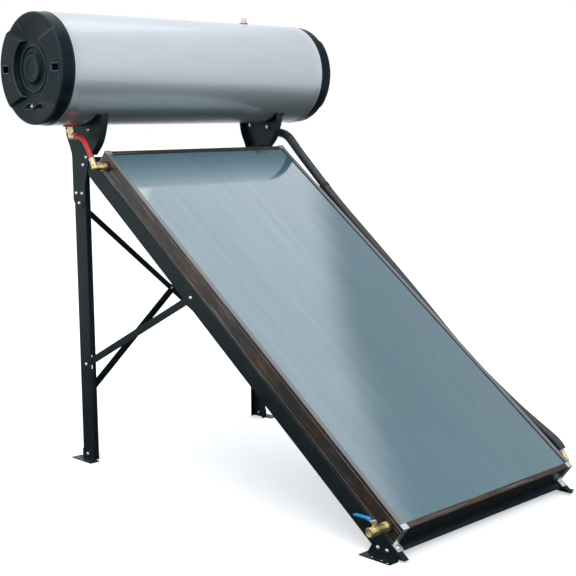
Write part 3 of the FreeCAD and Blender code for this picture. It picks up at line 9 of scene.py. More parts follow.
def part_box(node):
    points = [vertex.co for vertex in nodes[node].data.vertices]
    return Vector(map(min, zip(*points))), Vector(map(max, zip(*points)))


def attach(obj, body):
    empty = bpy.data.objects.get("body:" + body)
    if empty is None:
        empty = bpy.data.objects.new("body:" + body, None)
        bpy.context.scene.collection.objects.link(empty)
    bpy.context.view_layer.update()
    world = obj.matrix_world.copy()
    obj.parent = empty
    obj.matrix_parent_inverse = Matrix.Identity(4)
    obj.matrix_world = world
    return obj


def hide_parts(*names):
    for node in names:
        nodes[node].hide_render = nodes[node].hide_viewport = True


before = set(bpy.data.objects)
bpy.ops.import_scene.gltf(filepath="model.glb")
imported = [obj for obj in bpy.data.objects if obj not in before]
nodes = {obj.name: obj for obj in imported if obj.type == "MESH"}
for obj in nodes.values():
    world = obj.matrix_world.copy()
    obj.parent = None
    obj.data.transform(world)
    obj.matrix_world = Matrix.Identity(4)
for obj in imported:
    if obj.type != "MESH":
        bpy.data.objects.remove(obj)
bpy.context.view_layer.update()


BODY = "heater"
HANDLE = "valve_handle"

# ---------------------------------------------------------------- where things are
jk_lo, jk_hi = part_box("tank_jacket")
TANK = Vector((0.0, (jk_lo.y + jk_hi.y) / 2, jk_lo.z + 0.225))
cg_lo, cg_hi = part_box("collector_glass")
TILT = math.radians(37.2)
SN, CS = math.sin(TILT), math.cos(TILT)
fb_lo, fb_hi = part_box("frame_bottom")
# lower edge of the collector's face: the point every slope position starts from
BASE = Vector((0.0, fb_lo.y, fb_lo.z + 0.080 * CS))
UP = Vector((0, CS, SN))
OFF = Vector((0, -SN, CS))
SLOPE = Matrix(((1, 0, 0, BASE.x), (0, UP.y, OFF.y, BASE.y), (0, UP.z, OFF.z, BASE.z), (0, 0, 0, 1)))


def sp(u, v, w):
    """Collector coordinates in millimetres (across, up the slope, off the face) to the row frame."""
    return BASE + Vector((u / 1000, 0, 0)) + UP * (v / 1000) + OFF * (w / 1000)


# ---------------------------------------------------------------- node materials
class Nodes:
    def __init__(self, name):
        self.m = bpy.data.materials.new(name)
        self.m.use_nodes = True
        self.t = self.m.node_tree
        self.t.nodes.clear()
        self.out = self.t.nodes.new("ShaderNodeOutputMaterial")

    def add(self, kind, inputs=None, **props):
        n = self.t.nodes.new("ShaderNode" + kind)
        for k, v in props.items():
            setattr(n, k, v)
        for k, v in (inputs or {}).items():
            if isinstance(v, bpy.types.NodeSocket):
                self.t.links.new(v, n.inputs[k])
            else:
                n.inputs[k].default_value = v
        return n

    def coords(self, scale=(1, 1, 1), rotate=(0, 0, 0), move=(0, 0, 0)):
        c = self.add("TexCoord")
        m = self.add("Mapping", {"Vector": c.outputs["Object"], "Scale": scale, "Rotation": rotate, "Location": move})
        return m.outputs["Vector"]

    def noise(self, vec, scale, detail=4.0, rough=0.55, distortion=0.0):
        n = self.add("TexNoise", {"Vector": vec, "Scale": scale, "Detail": detail, "Roughness": rough,
                                  "Distortion": distortion})
        return n.outputs["Fac"]

    def ramp(self, fac, stops, interp="LINEAR"):
        n = self.add("ValToRGB", {"Fac": fac})
        n.color_ramp.interpolation = interp
        el = n.color_ramp.elements
        while len(el) < len(stops):
            el.new(0.5)
        for e, (p, c) in zip(el, stops):
            e.position = p
            e.color = c if len(c) == 4 else (*c, 1)
        return n.outputs["Color"]

    def fit(self, fac, a, b, lo, near_highlight):
        n = self.add("MapRange", {"Value": fac, "From Min": a, "From Max": b, "To Min": lo, "To Max": near_highlight})
        return n.outputs["Result"]

    def mix(self, fac, a, b, mode="MIX"):
        n = self.t.nodes.new("ShaderNodeMix")
        n.data_type = "RGBA"
        n.blend_type = mode
        for i, v in ((0, fac), (6, a), (7, b)):
            if isinstance(v, bpy.types.NodeSocket):
                self.t.links.new(v, n.inputs[i])
            else:
                n.inputs[i].default_value = v if i == 0 or len(v) == 4 else (*v, 1)
        return n.outputs[2]

    def math(self, op, a, b=0.0):
        n = self.t.nodes.new("ShaderNodeMath")
        n.operation = op
        for i, v in ((0, a), (1, b)):
            if isinstance(v, bpy.types.NodeSocket):
                self.t.links.new(v, n.inputs[i])
            else:
                n.inputs[i].default_value = v
        return n.outputs[0]

    def bump(self, height, strength, distance, normal=None):
        n = self.add("Bump", {"Height": height, "Strength": strength, "Distance": distance})
        if normal is not None:
            self.t.links.new(normal, n.inputs["Normal"])
        return n.outputs["Normal"]

    def surface(self, **kw):
        inputs = {}
        names = {"color": "Base Color", "rough": "Roughness", "metal": "Metallic", "normal": "Normal",
                 "coat": "Coat Weight", "coat_rough": "Coat Roughness", "spec": "Specular IOR Level", "ior": "IOR",
                 "sheen": "Sheen Weight", "aniso": "Anisotropic", "tint": "Specular Tint"}
        for k, v in kw.items():
            if k == "color" and not isinstance(v, bpy.types.NodeSocket) and len(v) == 3:
                v = (*v, 1)
            inputs[names[k]] = v
        b = self.add("BsdfPrincipled", inputs)
        self.t.links.new(b.outputs["BSDF"], self.out.inputs["Surface"])
        return b


def srgb(r, g, b):
    def f(c):
        c /= 255.0
        return c / 12.92 if c <= 0.04045 else ((c + 0.055) / 1.055) ** 2.4
    return (f(r), f(g), f(b))


def tone(c, k):
    return tuple(min(1.0, x * k) for x in c)


def powder(name, c, rough=0.42, grain=1400.0, painted_highlight_lines=None):
    """Powder-coated steel: fine orange peel, faint mottling, light rubs and dust, edges lightened partly as wear and
    partly as a painted highlight, and optional painted highlight lines.
    """
    n = Nodes(name)
    v = n.coords()
    big = n.noise(v, 7.0, 5.0, 0.6)
    streak = n.noise(n.coords((30, 30, 3)), 4.0, 4.0, 0.6)
    fine = n.noise(v, grain, 2.0, 0.5)
    col = n.mix(n.fit(big, 0.3, 0.7, 0, 1), tone(c, 0.80), tone(c, 1.22))
    col = n.mix(n.fit(streak, 0.50, 0.78, 0, 0.35), col, tone(c, 1.7))
    spots = n.fit(n.noise(v, 300.0, 2.0, 0.5), 0.70, 0.78, 0, 0.4)
    col = n.mix(spots, col, tone(c, 2.4))
    # edges found by pointiness are lightened toward a bluish grey: partly edge wear, partly a painted highlight
    edge_wear_and_highlight = n.add("NewGeometry").outputs["Pointiness"]
    col = n.mix(n.fit(edge_wear_and_highlight, 0.56, 0.66, 0, 0.35), col, srgb(120, 132, 140))
    r = n.fit(big, 0.3, 0.7, rough - 0.07, rough + 0.09)
    nor = n.bump(fine, 0.22, 0.0006)
    if painted_highlight_lines:
        # painted highlight: two thin bluish lines along the face at the given heights off the collector face, broken
        # into patches; the first line is the brighter one
        w = n.math("SUBTRACT", n.add("SeparateXYZ", {"Vector": n.coords((1, 1, 1), (-TILT, 0, 0))}).outputs["Z"], BASE.dot(OFF))
        near = n.math("ABSOLUTE", n.math("SUBTRACT", w, painted_highlight_lines[0]))
        far = n.math("ABSOLUTE", n.math("SUBTRACT", w, painted_highlight_lines[1]))
        near_highlight = n.fit(near, 0.0008, 0.0042, 1.0, 0.0)
        lo = n.fit(far, 0.0008, 0.0035, 0.5, 0.0)
        patch = n.fit(n.noise(n.coords((6, 60, 60)), 1.0, 4.0, 0.6), 0.3, 0.6, 0.35, 1.0)
        col = n.mix(n.math("MULTIPLY", near_highlight, patch), col, srgb(112, 140, 160))
        # painted highlight, fainter, along the second line
        col = n.mix(n.math("MULTIPLY", lo, patch), col, srgb(74, 92, 104))
        nor = n.bump(near_highlight, 0.8, 0.0015, nor)
    n.surface(color=col, rough=r, metal=0.0, normal=nor, spec=0.21, tint=(0.66, 0.90, 1.0, 1))
    return n.m


def anodised(name, c, ribs_and_painted_shade=0.0, upturned_face_grey=None, across=False):
    """Brown anodised extrusion: drawn lines along its length, chalky rubs and long scratches; optional ribs on the end
    face drawn with painted shade and painted highlight, and an optional lighter grey on faces turned up off the
    collector face.
    """
    n = Nodes(name)
    flat = n.coords((1, 1, 1), (-TILT, 0, 0))
    long_lines = n.add("Mapping", {"Vector": flat, "Scale": (1.5, 300, 300) if across else (300, 1.5, 300)}).outputs["Vector"]
    long_rubs = n.add("Mapping", {"Vector": flat, "Scale": (5.0, 30, 30) if across else (30, 5.0, 30)}).outputs["Vector"]
    long_scr = n.add("Mapping", {"Vector": flat, "Scale": (2.4, 210, 210) if across else (210, 2.4, 210), "Location": (3, 0, 1)}).outputs["Vector"]
    lines = n.noise(long_lines, 3.0, 6.0, 0.65)
    rub = n.noise(long_rubs, 2.0, 6.0, 0.65)
    scratch = n.noise(long_scr, 1.6, 2.0, 0.4)
    tint = n.noise(flat, 6.0, 4.0, 0.6)
    col = n.mix(n.fit(lines, 0.32, 0.68, 0, 1), tone(c, 0.72), tone(c, 1.2))
    col = n.mix(n.fit(tint, 0.45, 0.7, 0, 0.5), col, srgb(112, 84, 66))
    col = n.mix(n.fit(rub, 0.53, 0.74, 0, 0.55), col, srgb(108, 110, 108))
    col = n.mix(n.fit(scratch, 0.66, 0.71, 0, 0.55), col, srgb(190, 190, 186))
    r = n.fit(lines, 0.3, 0.7, 0.28, 0.44)
    nor = n.bump(lines, 0.25, 0.0003)
    if ribs_and_painted_shade:
        # ribs drawn along the face, fading out under the glass bead; below it the face is painted dark as shade, the
        # grooves darker still as painted shade and the crests lighter as painted highlight
        off = n.add("SeparateXYZ", {"Vector": flat}).outputs["Z"]
        w = n.math("SUBTRACT", off, BASE.dot(OFF))
        wave = n.math("SINE", n.math("MULTIPLY", w, 2 * math.pi / 0.0135))
        below = n.fit(w, -0.014, -0.010, 1.0, 0.0)
        groove_shade = n.math("MULTIPLY", n.fit(wave, -1.0, 0.4, 0.75, 0.0), below)
        col = n.mix(below, col, n.mix(0.62, col, srgb(20, 26, 30)))
        col = n.mix(groove_shade, col, srgb(10, 15, 18))
        crest_highlight = n.math("MULTIPLY", n.fit(wave, 0.86, 1.0, 0.0, 0.30), below)
        col = n.mix(crest_highlight, col, srgb(84, 92, 98))
        nor = n.bump(n.math("MULTIPLY", wave, below), 0.9, 0.0012, nor)
    if upturned_face_grey:
        # faces turned up off the collector face are coloured toward a lighter grey
        face = n.add("VectorMath", {0: n.add("NewGeometry").outputs["Normal"], 1: tuple(OFF)}, operation="DOT_PRODUCT").outputs["Value"]
        col = n.mix(n.fit(face, 0.55, 0.92, 0.0, 0.85), col, n.mix(n.fit(lines, 0.3, 0.7, 0, 0.5), tone(upturned_face_grey, 0.85), tone(upturned_face_grey, 1.15)))
    n.surface(color=col, rough=r, metal=0.45, normal=nor, coat=0.22, coat_rough=0.22)
    return n.m


def metal(name, c, rough=0.3, spangle=0.0, grain=500.0, tarnish=None):
    n = Nodes(name)
    v = n.coords()
    big = n.noise(v, 40.0, 5.0, 0.6)
    fine = n.noise(v, grain, 3.0, 0.6)
    col = n.mix(n.fit(big, 0.3, 0.7, 0, 1), tone(c, 0.84), tone(c, 1.12))
    if spangle:
        cells = n.add("TexVoronoi", {"Vector": v, "Scale": spangle}).outputs["Color"]
        g = n.add("RGBToBW", {"Color": cells}).outputs["Val"]
        col = n.mix(n.fit(g, 0.2, 0.8, 0, 0.5), col, tone(c, 1.25))
    if tarnish:
        col = n.mix(n.fit(n.noise(v, 90.0, 5.0, 0.65), 0.50, 0.72, 0, 0.6), col, tarnish)
    r = n.fit(fine, 0.3, 0.7, rough - 0.06, rough + 0.1)
    n.surface(color=col, rough=r, metal=1.0, normal=n.bump(fine, 0.15, 0.0004))
    return n.m


def plastic(name, c, rough=0.45, grain=900.0, depth=0.25, spec=0.5, dust=0.12, tint=(1, 1, 1, 1), rim=None):
    n = Nodes(name)
    v = n.coords()
    big = n.noise(v, 9.0, 5.0, 0.6)
    fine = n.noise(v, grain, 2.0, 0.5)
    col = n.mix(n.fit(big, 0.3, 0.7, 0, 1), tone(c, 0.86), tone(c, 1.16))
    geo = n.add("NewGeometry")
    upness = n.add("SeparateXYZ", {"Vector": geo.outputs["Normal"]}).outputs["Z"]
    d = n.math("MULTIPLY", n.fit(upness, 0.1, 1.0, 0, 1), n.fit(n.noise(v, 60.0, 6.0, 0.7), 0.35, 0.75, 0, dust))
    col = n.mix(d, col, srgb(176, 178, 178))
    # painted highlight: convex rims found by pointiness are lightened toward the rim colour
    if rim:
        col = n.mix(n.fit(geo.outputs["Pointiness"], 0.508, 0.57, 0, 0.62), col, rim)
    r = n.fit(big, 0.3, 0.7, rough - 0.05, rough + 0.08)
    n.surface(color=col, rough=r, normal=n.bump(fine, depth, 0.0005), spec=spec, tint=tint)
    return n.m


M = {}
M["jacket"] = None


def silver_paint(name):
    """Silver-grey stoving enamel over rolled sheet, with painted shade on its underside."""
    n = Nodes(name)
    v = n.coords()
    c = srgb(206, 212, 219)
    big = n.noise(n.coords((1.2, 5, 5)), 2.4, 4.0, 0.55)
    grain = n.noise(v, 900.0, 2.0, 0.5)
    col = n.mix(n.fit(big, 0.3, 0.7, 0, 1), tone(c, 0.96), tone(c, 1.03))
    col = n.mix(n.fit(grain, 0.3, 0.7, 0, 0.3), col, tone(c, 0.93))
    smear = n.noise(n.coords((3, 30, 30)), 2.0, 5.0, 0.6)
    col = n.mix(n.fit(smear, 0.56, 0.8, 0, 0.18), col, srgb(176, 178, 176))
    # painted shade: faces turned down are painted a darker, greener grey, as shade with a greenish painted reflection
    # of the stand, easing off again at the very bottom
    up = n.add("SeparateXYZ", {"Vector": n.add("NewGeometry").outputs["Normal"]}).outputs["Z"]
    low = n.math("MULTIPLY", n.fit(up, -0.20, -0.72, 0.0, 1.0), n.fit(up, -0.99, -0.84, 0.0, 1.0))
    col = n.mix(low, col, srgb(146, 158, 160))
    peel = n.noise(v, 160.0, 2.0, 0.5)
    nor = n.bump(peel, 0.05, 0.0006)
    n.surface(color=col, rough=n.fit(peel, 0.3, 0.7, 0.30, 0.38), metal=0.62, normal=nor, coat=0.55, coat_rough=0.09)
    return n.m


M["jacket"] = silver_paint("silver_enamel")
# moulded cap: its last colour is a bluish painted highlight on convex rims
M["cap"] = plastic("cap_moulding", srgb(15, 25, 29), 0.24, 1100.0, 0.08, 0.15, 0.01, (0.55, 0.84, 1.0, 1), srgb(112, 136, 150))
M["stand"] = powder("slate_powder_coat", srgb(27, 36, 38), 0.34)
# front cross rail: a darker copy of the stand's powder coat as painted shade, with painted highlight lines at 30 % and
# 62 % of its depth off the collector face
rail = [v.co - BASE for v in nodes["cross_rail_bottom"].data.vertices]
web = [q.dot(OFF) for q in rail]
w0, w1 = min(web), max(web)
M["stand_front_painted_light"] = powder("slate_powder_coat_front_painted_light", srgb(17, 26, 32), 0.28, 1400.0, (w0 + 0.30 * (w1 - w0), w0 + 0.62 * (w1 - w0)))
M["frame"] = anodised("brown_anodised", srgb(66, 55, 48), across=True)
# side frames: faces turned up off the collector face take a lighter grey
M["frame_side"] = anodised("brown_anodised_side", srgb(62, 57, 52), 0.0, srgb(150, 150, 154))
# lower end of the frame: ribbed face painted dark as shade, with painted shade in the grooves and painted highlight on
# the crests
M["frame_end"] = anodised("brown_anodised_end_painted_shade", srgb(60, 52, 47), 1.0, across=True)
M["zinc"] = metal("bright_zinc", srgb(244, 246, 250), 0.36, 260.0)
M["brass"] = metal("raw_brass", srgb(252, 222, 160), 0.30, 0.0, 420.0, srgb(206, 150, 92))
M["nipple"] = metal("galvanised_pipe", srgb(226, 224, 216), 0.36, 420.0)
M["steel"] = metal("plated_steel", srgb(206, 208, 212), 0.26)
M["copper"] = metal("copper_tube", srgb(196, 118, 84), 0.32)
M["red_seal"] = plastic("red_silicone", srgb(190, 46, 44), 0.48, 700.0, 0.2)
M["red_hose"] = plastic("red_rubber_hose", srgb(226, 50, 40), 0.30, 900.0, 0.2, 0.55, 0.03)
M["black_rubber"] = plastic("black_rubber", srgb(30, 31, 33), 0.55, 800.0, 0.3)
M["foam_skin"] = plastic("closed_cell_foam", srgb(40, 47, 51), 0.40, 420.0, 0.5, 0.5, 0.15)
M["blue"] = plastic("blue_vinyl", srgb(22, 148, 210), 0.20, 500.0, 0.10, 0.7, 0.05)
M["ptfe"] = plastic("white_ptfe", srgb(232, 232, 228), 0.4)
M["cream"] = metal("crimped_sleeve", srgb(228, 218, 196), 0.34, 0.0, 700.0)
M["wool"] = plastic("mineral_wool", srgb(196, 178, 120), 0.9, 260.0, 0.9, 0.2)
M["tank_foam"] = plastic("rigid_foam", srgb(222, 206, 150), 0.8, 300.0, 0.7, 0.2)
M["enamel"] = plastic("vessel_enamel", srgb(60, 72, 96), 0.3, 300.0, 0.2)
M["back"] = powder("back_sheet_paint", srgb(160, 162, 164), 0.4)
M["magnesium"] = metal("magnesium_bar", srgb(170, 170, 168), 0.5)
M["strap"] = powder("brown_strap", srgb(62, 46, 38), 0.4)
M["pipe"] = plastic("multilayer_pipe", srgb(224, 224, 218), 0.35)


def absorber_material(name):
    n = Nodes(name)
    c = n.add("TexCoord").outputs["Object"]
    x = n.add("SeparateXYZ", {"Vector": c}).outputs["X"]
    # distance to the nearest riser weld line, 107 mm apart
    f = n.math("ABSOLUTE", n.math("SUBTRACT", n.math("FRACT", n.math("ADD", n.math("DIVIDE", x, 0.107), 100.5)), 0.5))
    line = n.fit(f, 0.0, 0.05, 1.0, 0.0)
    seam = n.fit(f, 0.485, 0.5, 0.0, 1.0)
    base = srgb(128, 172, 184)
    flat = n.coords((1, 1, 1), (-TILT, 0, 0))
    big = n.noise(flat, 3.0, 4.0, 0.55)
    rolled = n.add("Mapping", {"Vector": flat, "Scale": (260, 5, 260)}).outputs["Vector"]
    fine = n.noise(rolled, 2.0, 3.0, 0.6)
    col = n.mix(n.fit(big, 0.3, 0.7, 0, 1), tone(base, 0.88), tone(base, 1.1))
    col = n.mix(n.fit(fine, 0.3, 0.7, 0, 0.3), col, tone(base, 1.25))
    col = n.mix(n.math("MULTIPLY", line, 0.3), col, tone(base, 1.5))
    col = n.mix(n.math("MULTIPLY", seam, 0.5), col, tone(base, 0.5))
    n.surface(color=col, rough=0.5, metal=0.2, normal=n.bump(line, 0.3, 0.001))
    return n.m


def glass_material(name):
    """Low-iron solar glass: clear and glossy, with the faint haze and rolled streaks of its patterned underside."""
    n = Nodes(name)
    flat = n.coords((1, 1, 1), (-TILT, 0, 0))
    haze = n.noise(flat, 2.2, 5.0, 0.5)
    x = n.add("SeparateXYZ", {"Vector": flat}).outputs["X"]
    f = n.math("ABSOLUTE", n.math("SUBTRACT", n.math("FRACT", n.math("ADD", n.math("DIVIDE", x, 0.107), 100.5)), 0.5))
    band = n.fit(f, 0.0, 0.10, 1.0, 0.0)
    soft = n.noise(n.add("Mapping", {"Vector": flat, "Scale": (9, 1.3, 9)}).outputs["Vector"], 1.0, 3.0, 0.5)
    streaks = n.noise(n.add("Mapping", {"Vector": flat, "Scale": (22, 1.1, 22)}).outputs["Vector"], 1.0, 4.0, 0.6)
    wide = n.add("Mapping", {"Vector": flat, "Scale": (3, 1.6, 3)}).outputs["Vector"]
    nor = n.bump(n.noise(wide, 1.0, 1.0, 0.4), 0.5, 0.0006)
    clear = n.add("BsdfTransparent", {"Color": (0.80, 0.93, 0.94, 1)})
    milk_col = n.mix(n.math("MULTIPLY", band, 0.14), srgb(112, 162, 180), srgb(160, 200, 212))
    milk = n.add("BsdfDiffuse", {"Color": milk_col, "Roughness": 0.3})
    m1 = n.add("MixShader", {0: n.fit(haze, 0.3, 0.7, 0.50, 0.58)})
    n.t.links.new(clear.outputs[0], m1.inputs[1])
    n.t.links.new(milk.outputs[0], m1.inputs[2])
    gloss = n.add("BsdfGlossy", {"Color": (0.95, 0.98, 1.0, 1), "Roughness": n.fit(soft, 0.3, 0.7, 0.045, 0.085), "Normal": nor})
    fr = n.add("Fresnel", {"IOR": 1.62, "Normal": nor})
    k = n.math("MINIMUM", n.math("MULTIPLY", fr.outputs[0], n.fit(streaks, 0.35, 0.65, 3.25, 3.65)), 1.0)
    m2 = n.add("MixShader", {0: k})
    n.t.links.new(m1.outputs[0], m2.inputs[1])
    n.t.links.new(gloss.outputs[0], m2.inputs[2])
    n.t.links.new(m2.outputs[0], n.out.inputs["Surface"])
    return n.m


M["absorber"] = absorber_material("selective_absorber")
M["glass"] = glass_material("solar_glass")


# ---------------------------------------------------------------- mesh tools
def link(name, mesh, mat, body=BODY):
    ob = bpy.data.objects.new(name, mesh)
    bpy.context.scene.collection.objects.link(ob)
    if mat:
        mesh.materials.clear()
        mesh.materials.append(M[mat])
    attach(ob, body)
    return ob


def smooth(mesh, angle=32):
    for p in mesh.polygons:
        p.use_smooth = True
    mesh.set_sharp_from_angle(angle=math.radians(angle))


def bevel(ob, width_mm, segments=2, angle=34):
    b = ob.modifiers.new("edge", "BEVEL")
    b.width = width_mm / 1000
    b.segments = segments
    b.limit_method = "ANGLE"
    b.angle_limit = math.radians(angle)
    b.harden_normals = True
    b.use_clamp_overlap = True
    return ob


def dressed(node, mat, width_mm=0.5, segments=2, body=BODY, flat=0.6, angle=34, name=None):
    """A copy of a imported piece's mesh, cleaned and given rounded edges."""
    me = nodes[node].data.copy()
    bm = bmesh.new()
    bm.from_mesh(me)
    bmesh.ops.remove_doubles(bm, verts=bm.verts, dist=2e-6)
    bmesh.ops.dissolve_limit(bm, angle_limit=math.radians(flat), verts=bm.verts, edges=bm.edges)
    bm.to_mesh(me)
    bm.free()
    me.name = name or (node + "_look")
    ob = link(name or (node + "_look"), me, mat, body)
    smooth(me, angle)
    if width_mm:
        bevel(ob, width_mm, segments, angle)
    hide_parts(node)
    return ob


def paint(node, mat):
    """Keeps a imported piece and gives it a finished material."""
    ob = nodes[node]
    ob.data.materials.clear()
    ob.data.materials.append(M[mat])
    return ob


def lathe(name, profile, origin, axis, mat, seg=96, body=BODY, closed=False, angle=35):
    """Turned piece: profile is (along, radius) in millimetres about an axis."""
    axis = Vector(axis).normalized()
    side = axis.orthogonal().normalized()
    other = axis.cross(side)
    bm = bmesh.new()
    rings = []
    for a, r in profile:
        c = Vector(origin) + axis * (a / 1000)
        if r < 1e-6:
            rings.append([bm.verts.new(c)])
        else:
            rings.append([bm.verts.new(c + (side * math.cos(t) + other * math.sin(t)) * (r / 1000))
                          for t in (2 * math.pi * i / seg for i in range(seg))])
    pairs = list(zip(rings, rings[1:])) + ([(rings[-1], rings[0])] if closed else [])
    for p, q in pairs:
        if len(p) == 1 and len(q) == 1:
            continue
        for i in range(seg):
            j = (i + 1) % seg
            if len(p) == 1:
                bm.faces.new((p[0], q[j], q[i]))
            elif len(q) == 1:
                bm.faces.new((p[i], p[j], q[0]))
            else:
                bm.faces.new((p[i], p[j], q[j], q[i]))
    bmesh.ops.recalc_face_normals(bm, faces=bm.faces)
    me = bpy.data.meshes.new(name)
    bm.to_mesh(me)
    bm.free()
    smooth(me, angle)
    return link(name, me, mat, body)


# ---------------------------------------------------------------- end caps
def smoothstep(t):
    t = np.clip(t, 0.0, 1.0)
    return t * t * (3 - 2 * t)


def cap_height(y, z):
    """Relief of the moulded cover, millimetres above its recessed middle."""
    r = np.hypot(y, z)
    ay, az = np.abs(y), np.abs(z)
    # two raised lobes at the sides, shallow wedges above and below that run down into the middle
    dw = (91.0 + 0.36 * ay - az) / math.hypot(1, 0.36)
    lobe = smoothstep((dw + 9.0) / 18.0)
    rim = np.where(z > 0, 9.5, 13.0)
    wedge = rim * smoothstep((r - 104.0) / 116.0)
    out = smoothstep((r - 117.5) / 9.0)
    h = out * (lobe * 20.0 + (1 - lobe) * wedge) + (1 - out) * (1 - lobe) * wedge * 0.6
    h = h + 13.0 * smoothstep((67.0 - r) / 17.0) - 1.8 * np.exp(-((r - 77) / 7.5) ** 4) + 5.0 * np.exp(-((r - 91) / 4.6) ** 2)
    # shallow dish in the hub
    h = h - 2.2 * smoothstep((44.0 - r) / 20.0)
    # drain and cable slots through the lobes, with a moulded brow, sill and apron
    sy, sz = np.abs(ay - 178) - 23, az - 11.5
    ds = np.maximum(sy, sz)
    h = h + 2.2 * np.exp(-((ds - 4.0) / 2.4) ** 2)
    apron = smoothstep((25.0 - np.abs(ay - 178)) / 3.0) * smoothstep((-z - 16) / 3.0) * smoothstep((z + 56) / 8.0)
    h = h - 1.3 * apron * (ay > 140)
    h = h - 19.0 * smoothstep((1.5 - ds) / 3.0)
    # screw boss with its two finger recesses
    db = np.hypot(y / 1.25, z + 148)
    base = rim * smoothstep((148.0 - 104.0) / 116.0)
    h = np.where(z < 0, h + (13.0 - base) * smoothstep((17.0 - db) / 6.0), h)
    for s in (-1, 1):
        dc = np.hypot((y - s * 40) / 23.0, (z + 149 + 0.006 * (y - s * 40) ** 2) / 9.5)
        h = h + 1.6 * np.exp(-((dc - 1.25) / 0.16) ** 2) * (z < 0)
        h = h - 7.5 * smoothstep((1.1 - dc) / 0.4) * (z < 0)
    # rib in the upper wedge
    ax, az2, bx, bz = 61.0, 151.0, 90.0, 183.0
    L2 = (bx - ax) ** 2 + (bz - az2) ** 2
    t = np.clip(((y - ax) * (bx - ax) + (z - az2) * (bz - az2)) / L2, 0, 1)
    dr = np.hypot(y - ax - t * (bx - ax), z - az2 - t * (bz - az2))
    h = h + 3.0 * smoothstep((4.2 - dr) / 3.2)
    return h


def end_cap(name, node, s):
    R, edge, floor = 222.5, 8.0, 730.0
    nr, na = 132, 720
    rr = list(np.linspace(0, R - edge, nr)[1:]) + [R - edge + edge * math.sin(math.radians(a)) for a in (15, 30, 45, 60, 75, 90)]
    th = np.linspace(0, 2 * math.pi, na, endpoint=False)
    verts, faces = [], []
    c = TANK
    verts.append((s * (floor + float(cap_height(np.array(0.0), np.array(0.0)))) / 1000 + c.x, c.y, c.z))
    for r in rr:
        y, z = r * np.cos(th), r * np.sin(th)
        inner = min(r, R - edge)
        h = cap_height(inner * np.cos(th), inner * np.sin(th))
        if r > R - edge:
            h = h - (edge - math.sqrt(max(0.0, edge ** 2 - (r - (R - edge)) ** 2)))
        for yy, zz, hh in zip(y, z, h):
            verts.append((c.x + s * (floor + hh) / 1000, c.y - s * yy / 1000, c.z + zz / 1000))
    rings = len(rr)
    for x, r in ((705.0, R), (690.0, R), (687.5, R), (686.5, R - 1.2), (685.0, R - 1.2), (676.0, R - 1.2)):
        for a in th:
            verts.append((c.x + s * x / 1000, c.y - s * r * math.cos(a) / 1000, c.z + r * math.sin(a) / 1000))
        rings += 1
    verts.append((c.x + s * 0.676, c.y, c.z))
    last = len(verts) - 1
    for i in range(na):
        j = (i + 1) % na
        faces.append((0, 1 + i, 1 + j))
        for k in range(rings - 1):
            a, b = 1 + k * na, 1 + (k + 1) * na
            faces.append((a + i, b + i, b + j, a + j))
        a = 1 + (rings - 1) * na
        faces.append((a + j, a + i, last))
    me = bpy.data.meshes.new(name)
    me.from_pydata(verts, [], faces)
    bm = bmesh.new()
    bm.from_mesh(me)
    bmesh.ops.recalc_face_normals(bm, faces=bm.faces)
    bm.to_mesh(me)
    bm.free()
    smooth(me, 50)
    ob = link(name, me, "cap")
    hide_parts(node)
    return ob


end_cap("cap_cover_left", "end_cap_left", -1)
end_cap("cap_cover_right", "end_cap_right", 1)

# ---------------------------------------------------------------- tank jacket
prof = [(-686, 223.2), (-686, 225.0), (-685.0, 226.2), (-683.2, 226.6), (-681.6, 226.2), (-681.0, 225.2), (-680, 225.0)]
prof += [(x, 225.0) for x in range(-640, 641, 160)]
prof += [(-a, r) for a, r in reversed(prof[:7])]
prof += [(686, 223.2), (-686, 223.2)]
jacket = lathe("jacket_shell", prof[:-1], TANK, (1, 0, 0), "jacket", seg=256, closed=True)
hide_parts("tank_jacket")

# ---------------------------------------------------------------- carried-over steel and aluminium
for n in ("rear_leg_left", "rear_leg_right", "side_rail_left", "side_rail_right", "saddle_left", "saddle_right",
          "cross_rail_top", "back_brace_a", "back_brace_b", "side_brace_left", "side_brace_right",
          "foot_rear_left", "foot_rear_right", "foot_front_left", "foot_front_right"):
    dressed(n, "stand", 0.7, 2)
dressed("cross_rail_bottom", "stand_front_painted_light", 0.9, 3)
for n in ("frame_left", "frame_right"):
    dressed(n, "frame_side", 0.35, 2)
dressed("frame_top", "frame", 0.35, 2)
dressed("frame_bottom", "frame_end", 0.35, 2)
dressed("corner_clips", "zinc", 0.5, 2)
dressed("tank_cradles", "stand", 0.5, 2)
dressed("frame_bolts", "zinc", 0.25, 2, angle=40)
dressed("frame_nuts", "zinc", 0.3, 2)
dressed("end_cap_screws", "zinc", 0.3, 2)
dressed("tank_elbows", "brass", 0.4, 2)
dressed("collector_elbows", "brass", 0.4, 2)
dressed("header_plug", "brass", 0.4, 2)
dressed("hose_ferrules", "cream", 0.4, 2)
dressed("tank_nipples", "nipple", 0.4, 2)
dressed("nipple_seals", "red_seal", 0.6, 2)
dressed("header_grommets", "black_rubber", 0.6, 2)
dressed("pipe_clip", "strap", 0.3, 2)
dressed("valve_lever", "steel", 0.4, 2, HANDLE)
dressed("lever_grip", "blue", 0.5, 2, HANDLE)
dressed("lever_nut", "zinc", 0.3, 2, HANDLE)
dressed("valve_stem", "brass", 0.3, 2, HANDLE)
paint("valve_ball", "steel")
paint("valve_seats", "ptfe")
paint("collector_glass", "glass")
paint("glass_gasket", "black_rubber")
paint("absorber_plate", "absorber")
for n in ("header_top", "header_bottom", "riser_tubes"):
    paint(n, "copper")
paint("collector_insulation", "wool")
paint("back_sheet", "back")
paint("inner_tank", "enamel")
paint("tank_insulation", "tank_foam")
paint("anode_rod", "magnesium")
paint("heater_flange", "brass")
paint("heater_gasket", "black_rubber")
paint("heating_element", "steel")
paint("return_pipe", "pipe")


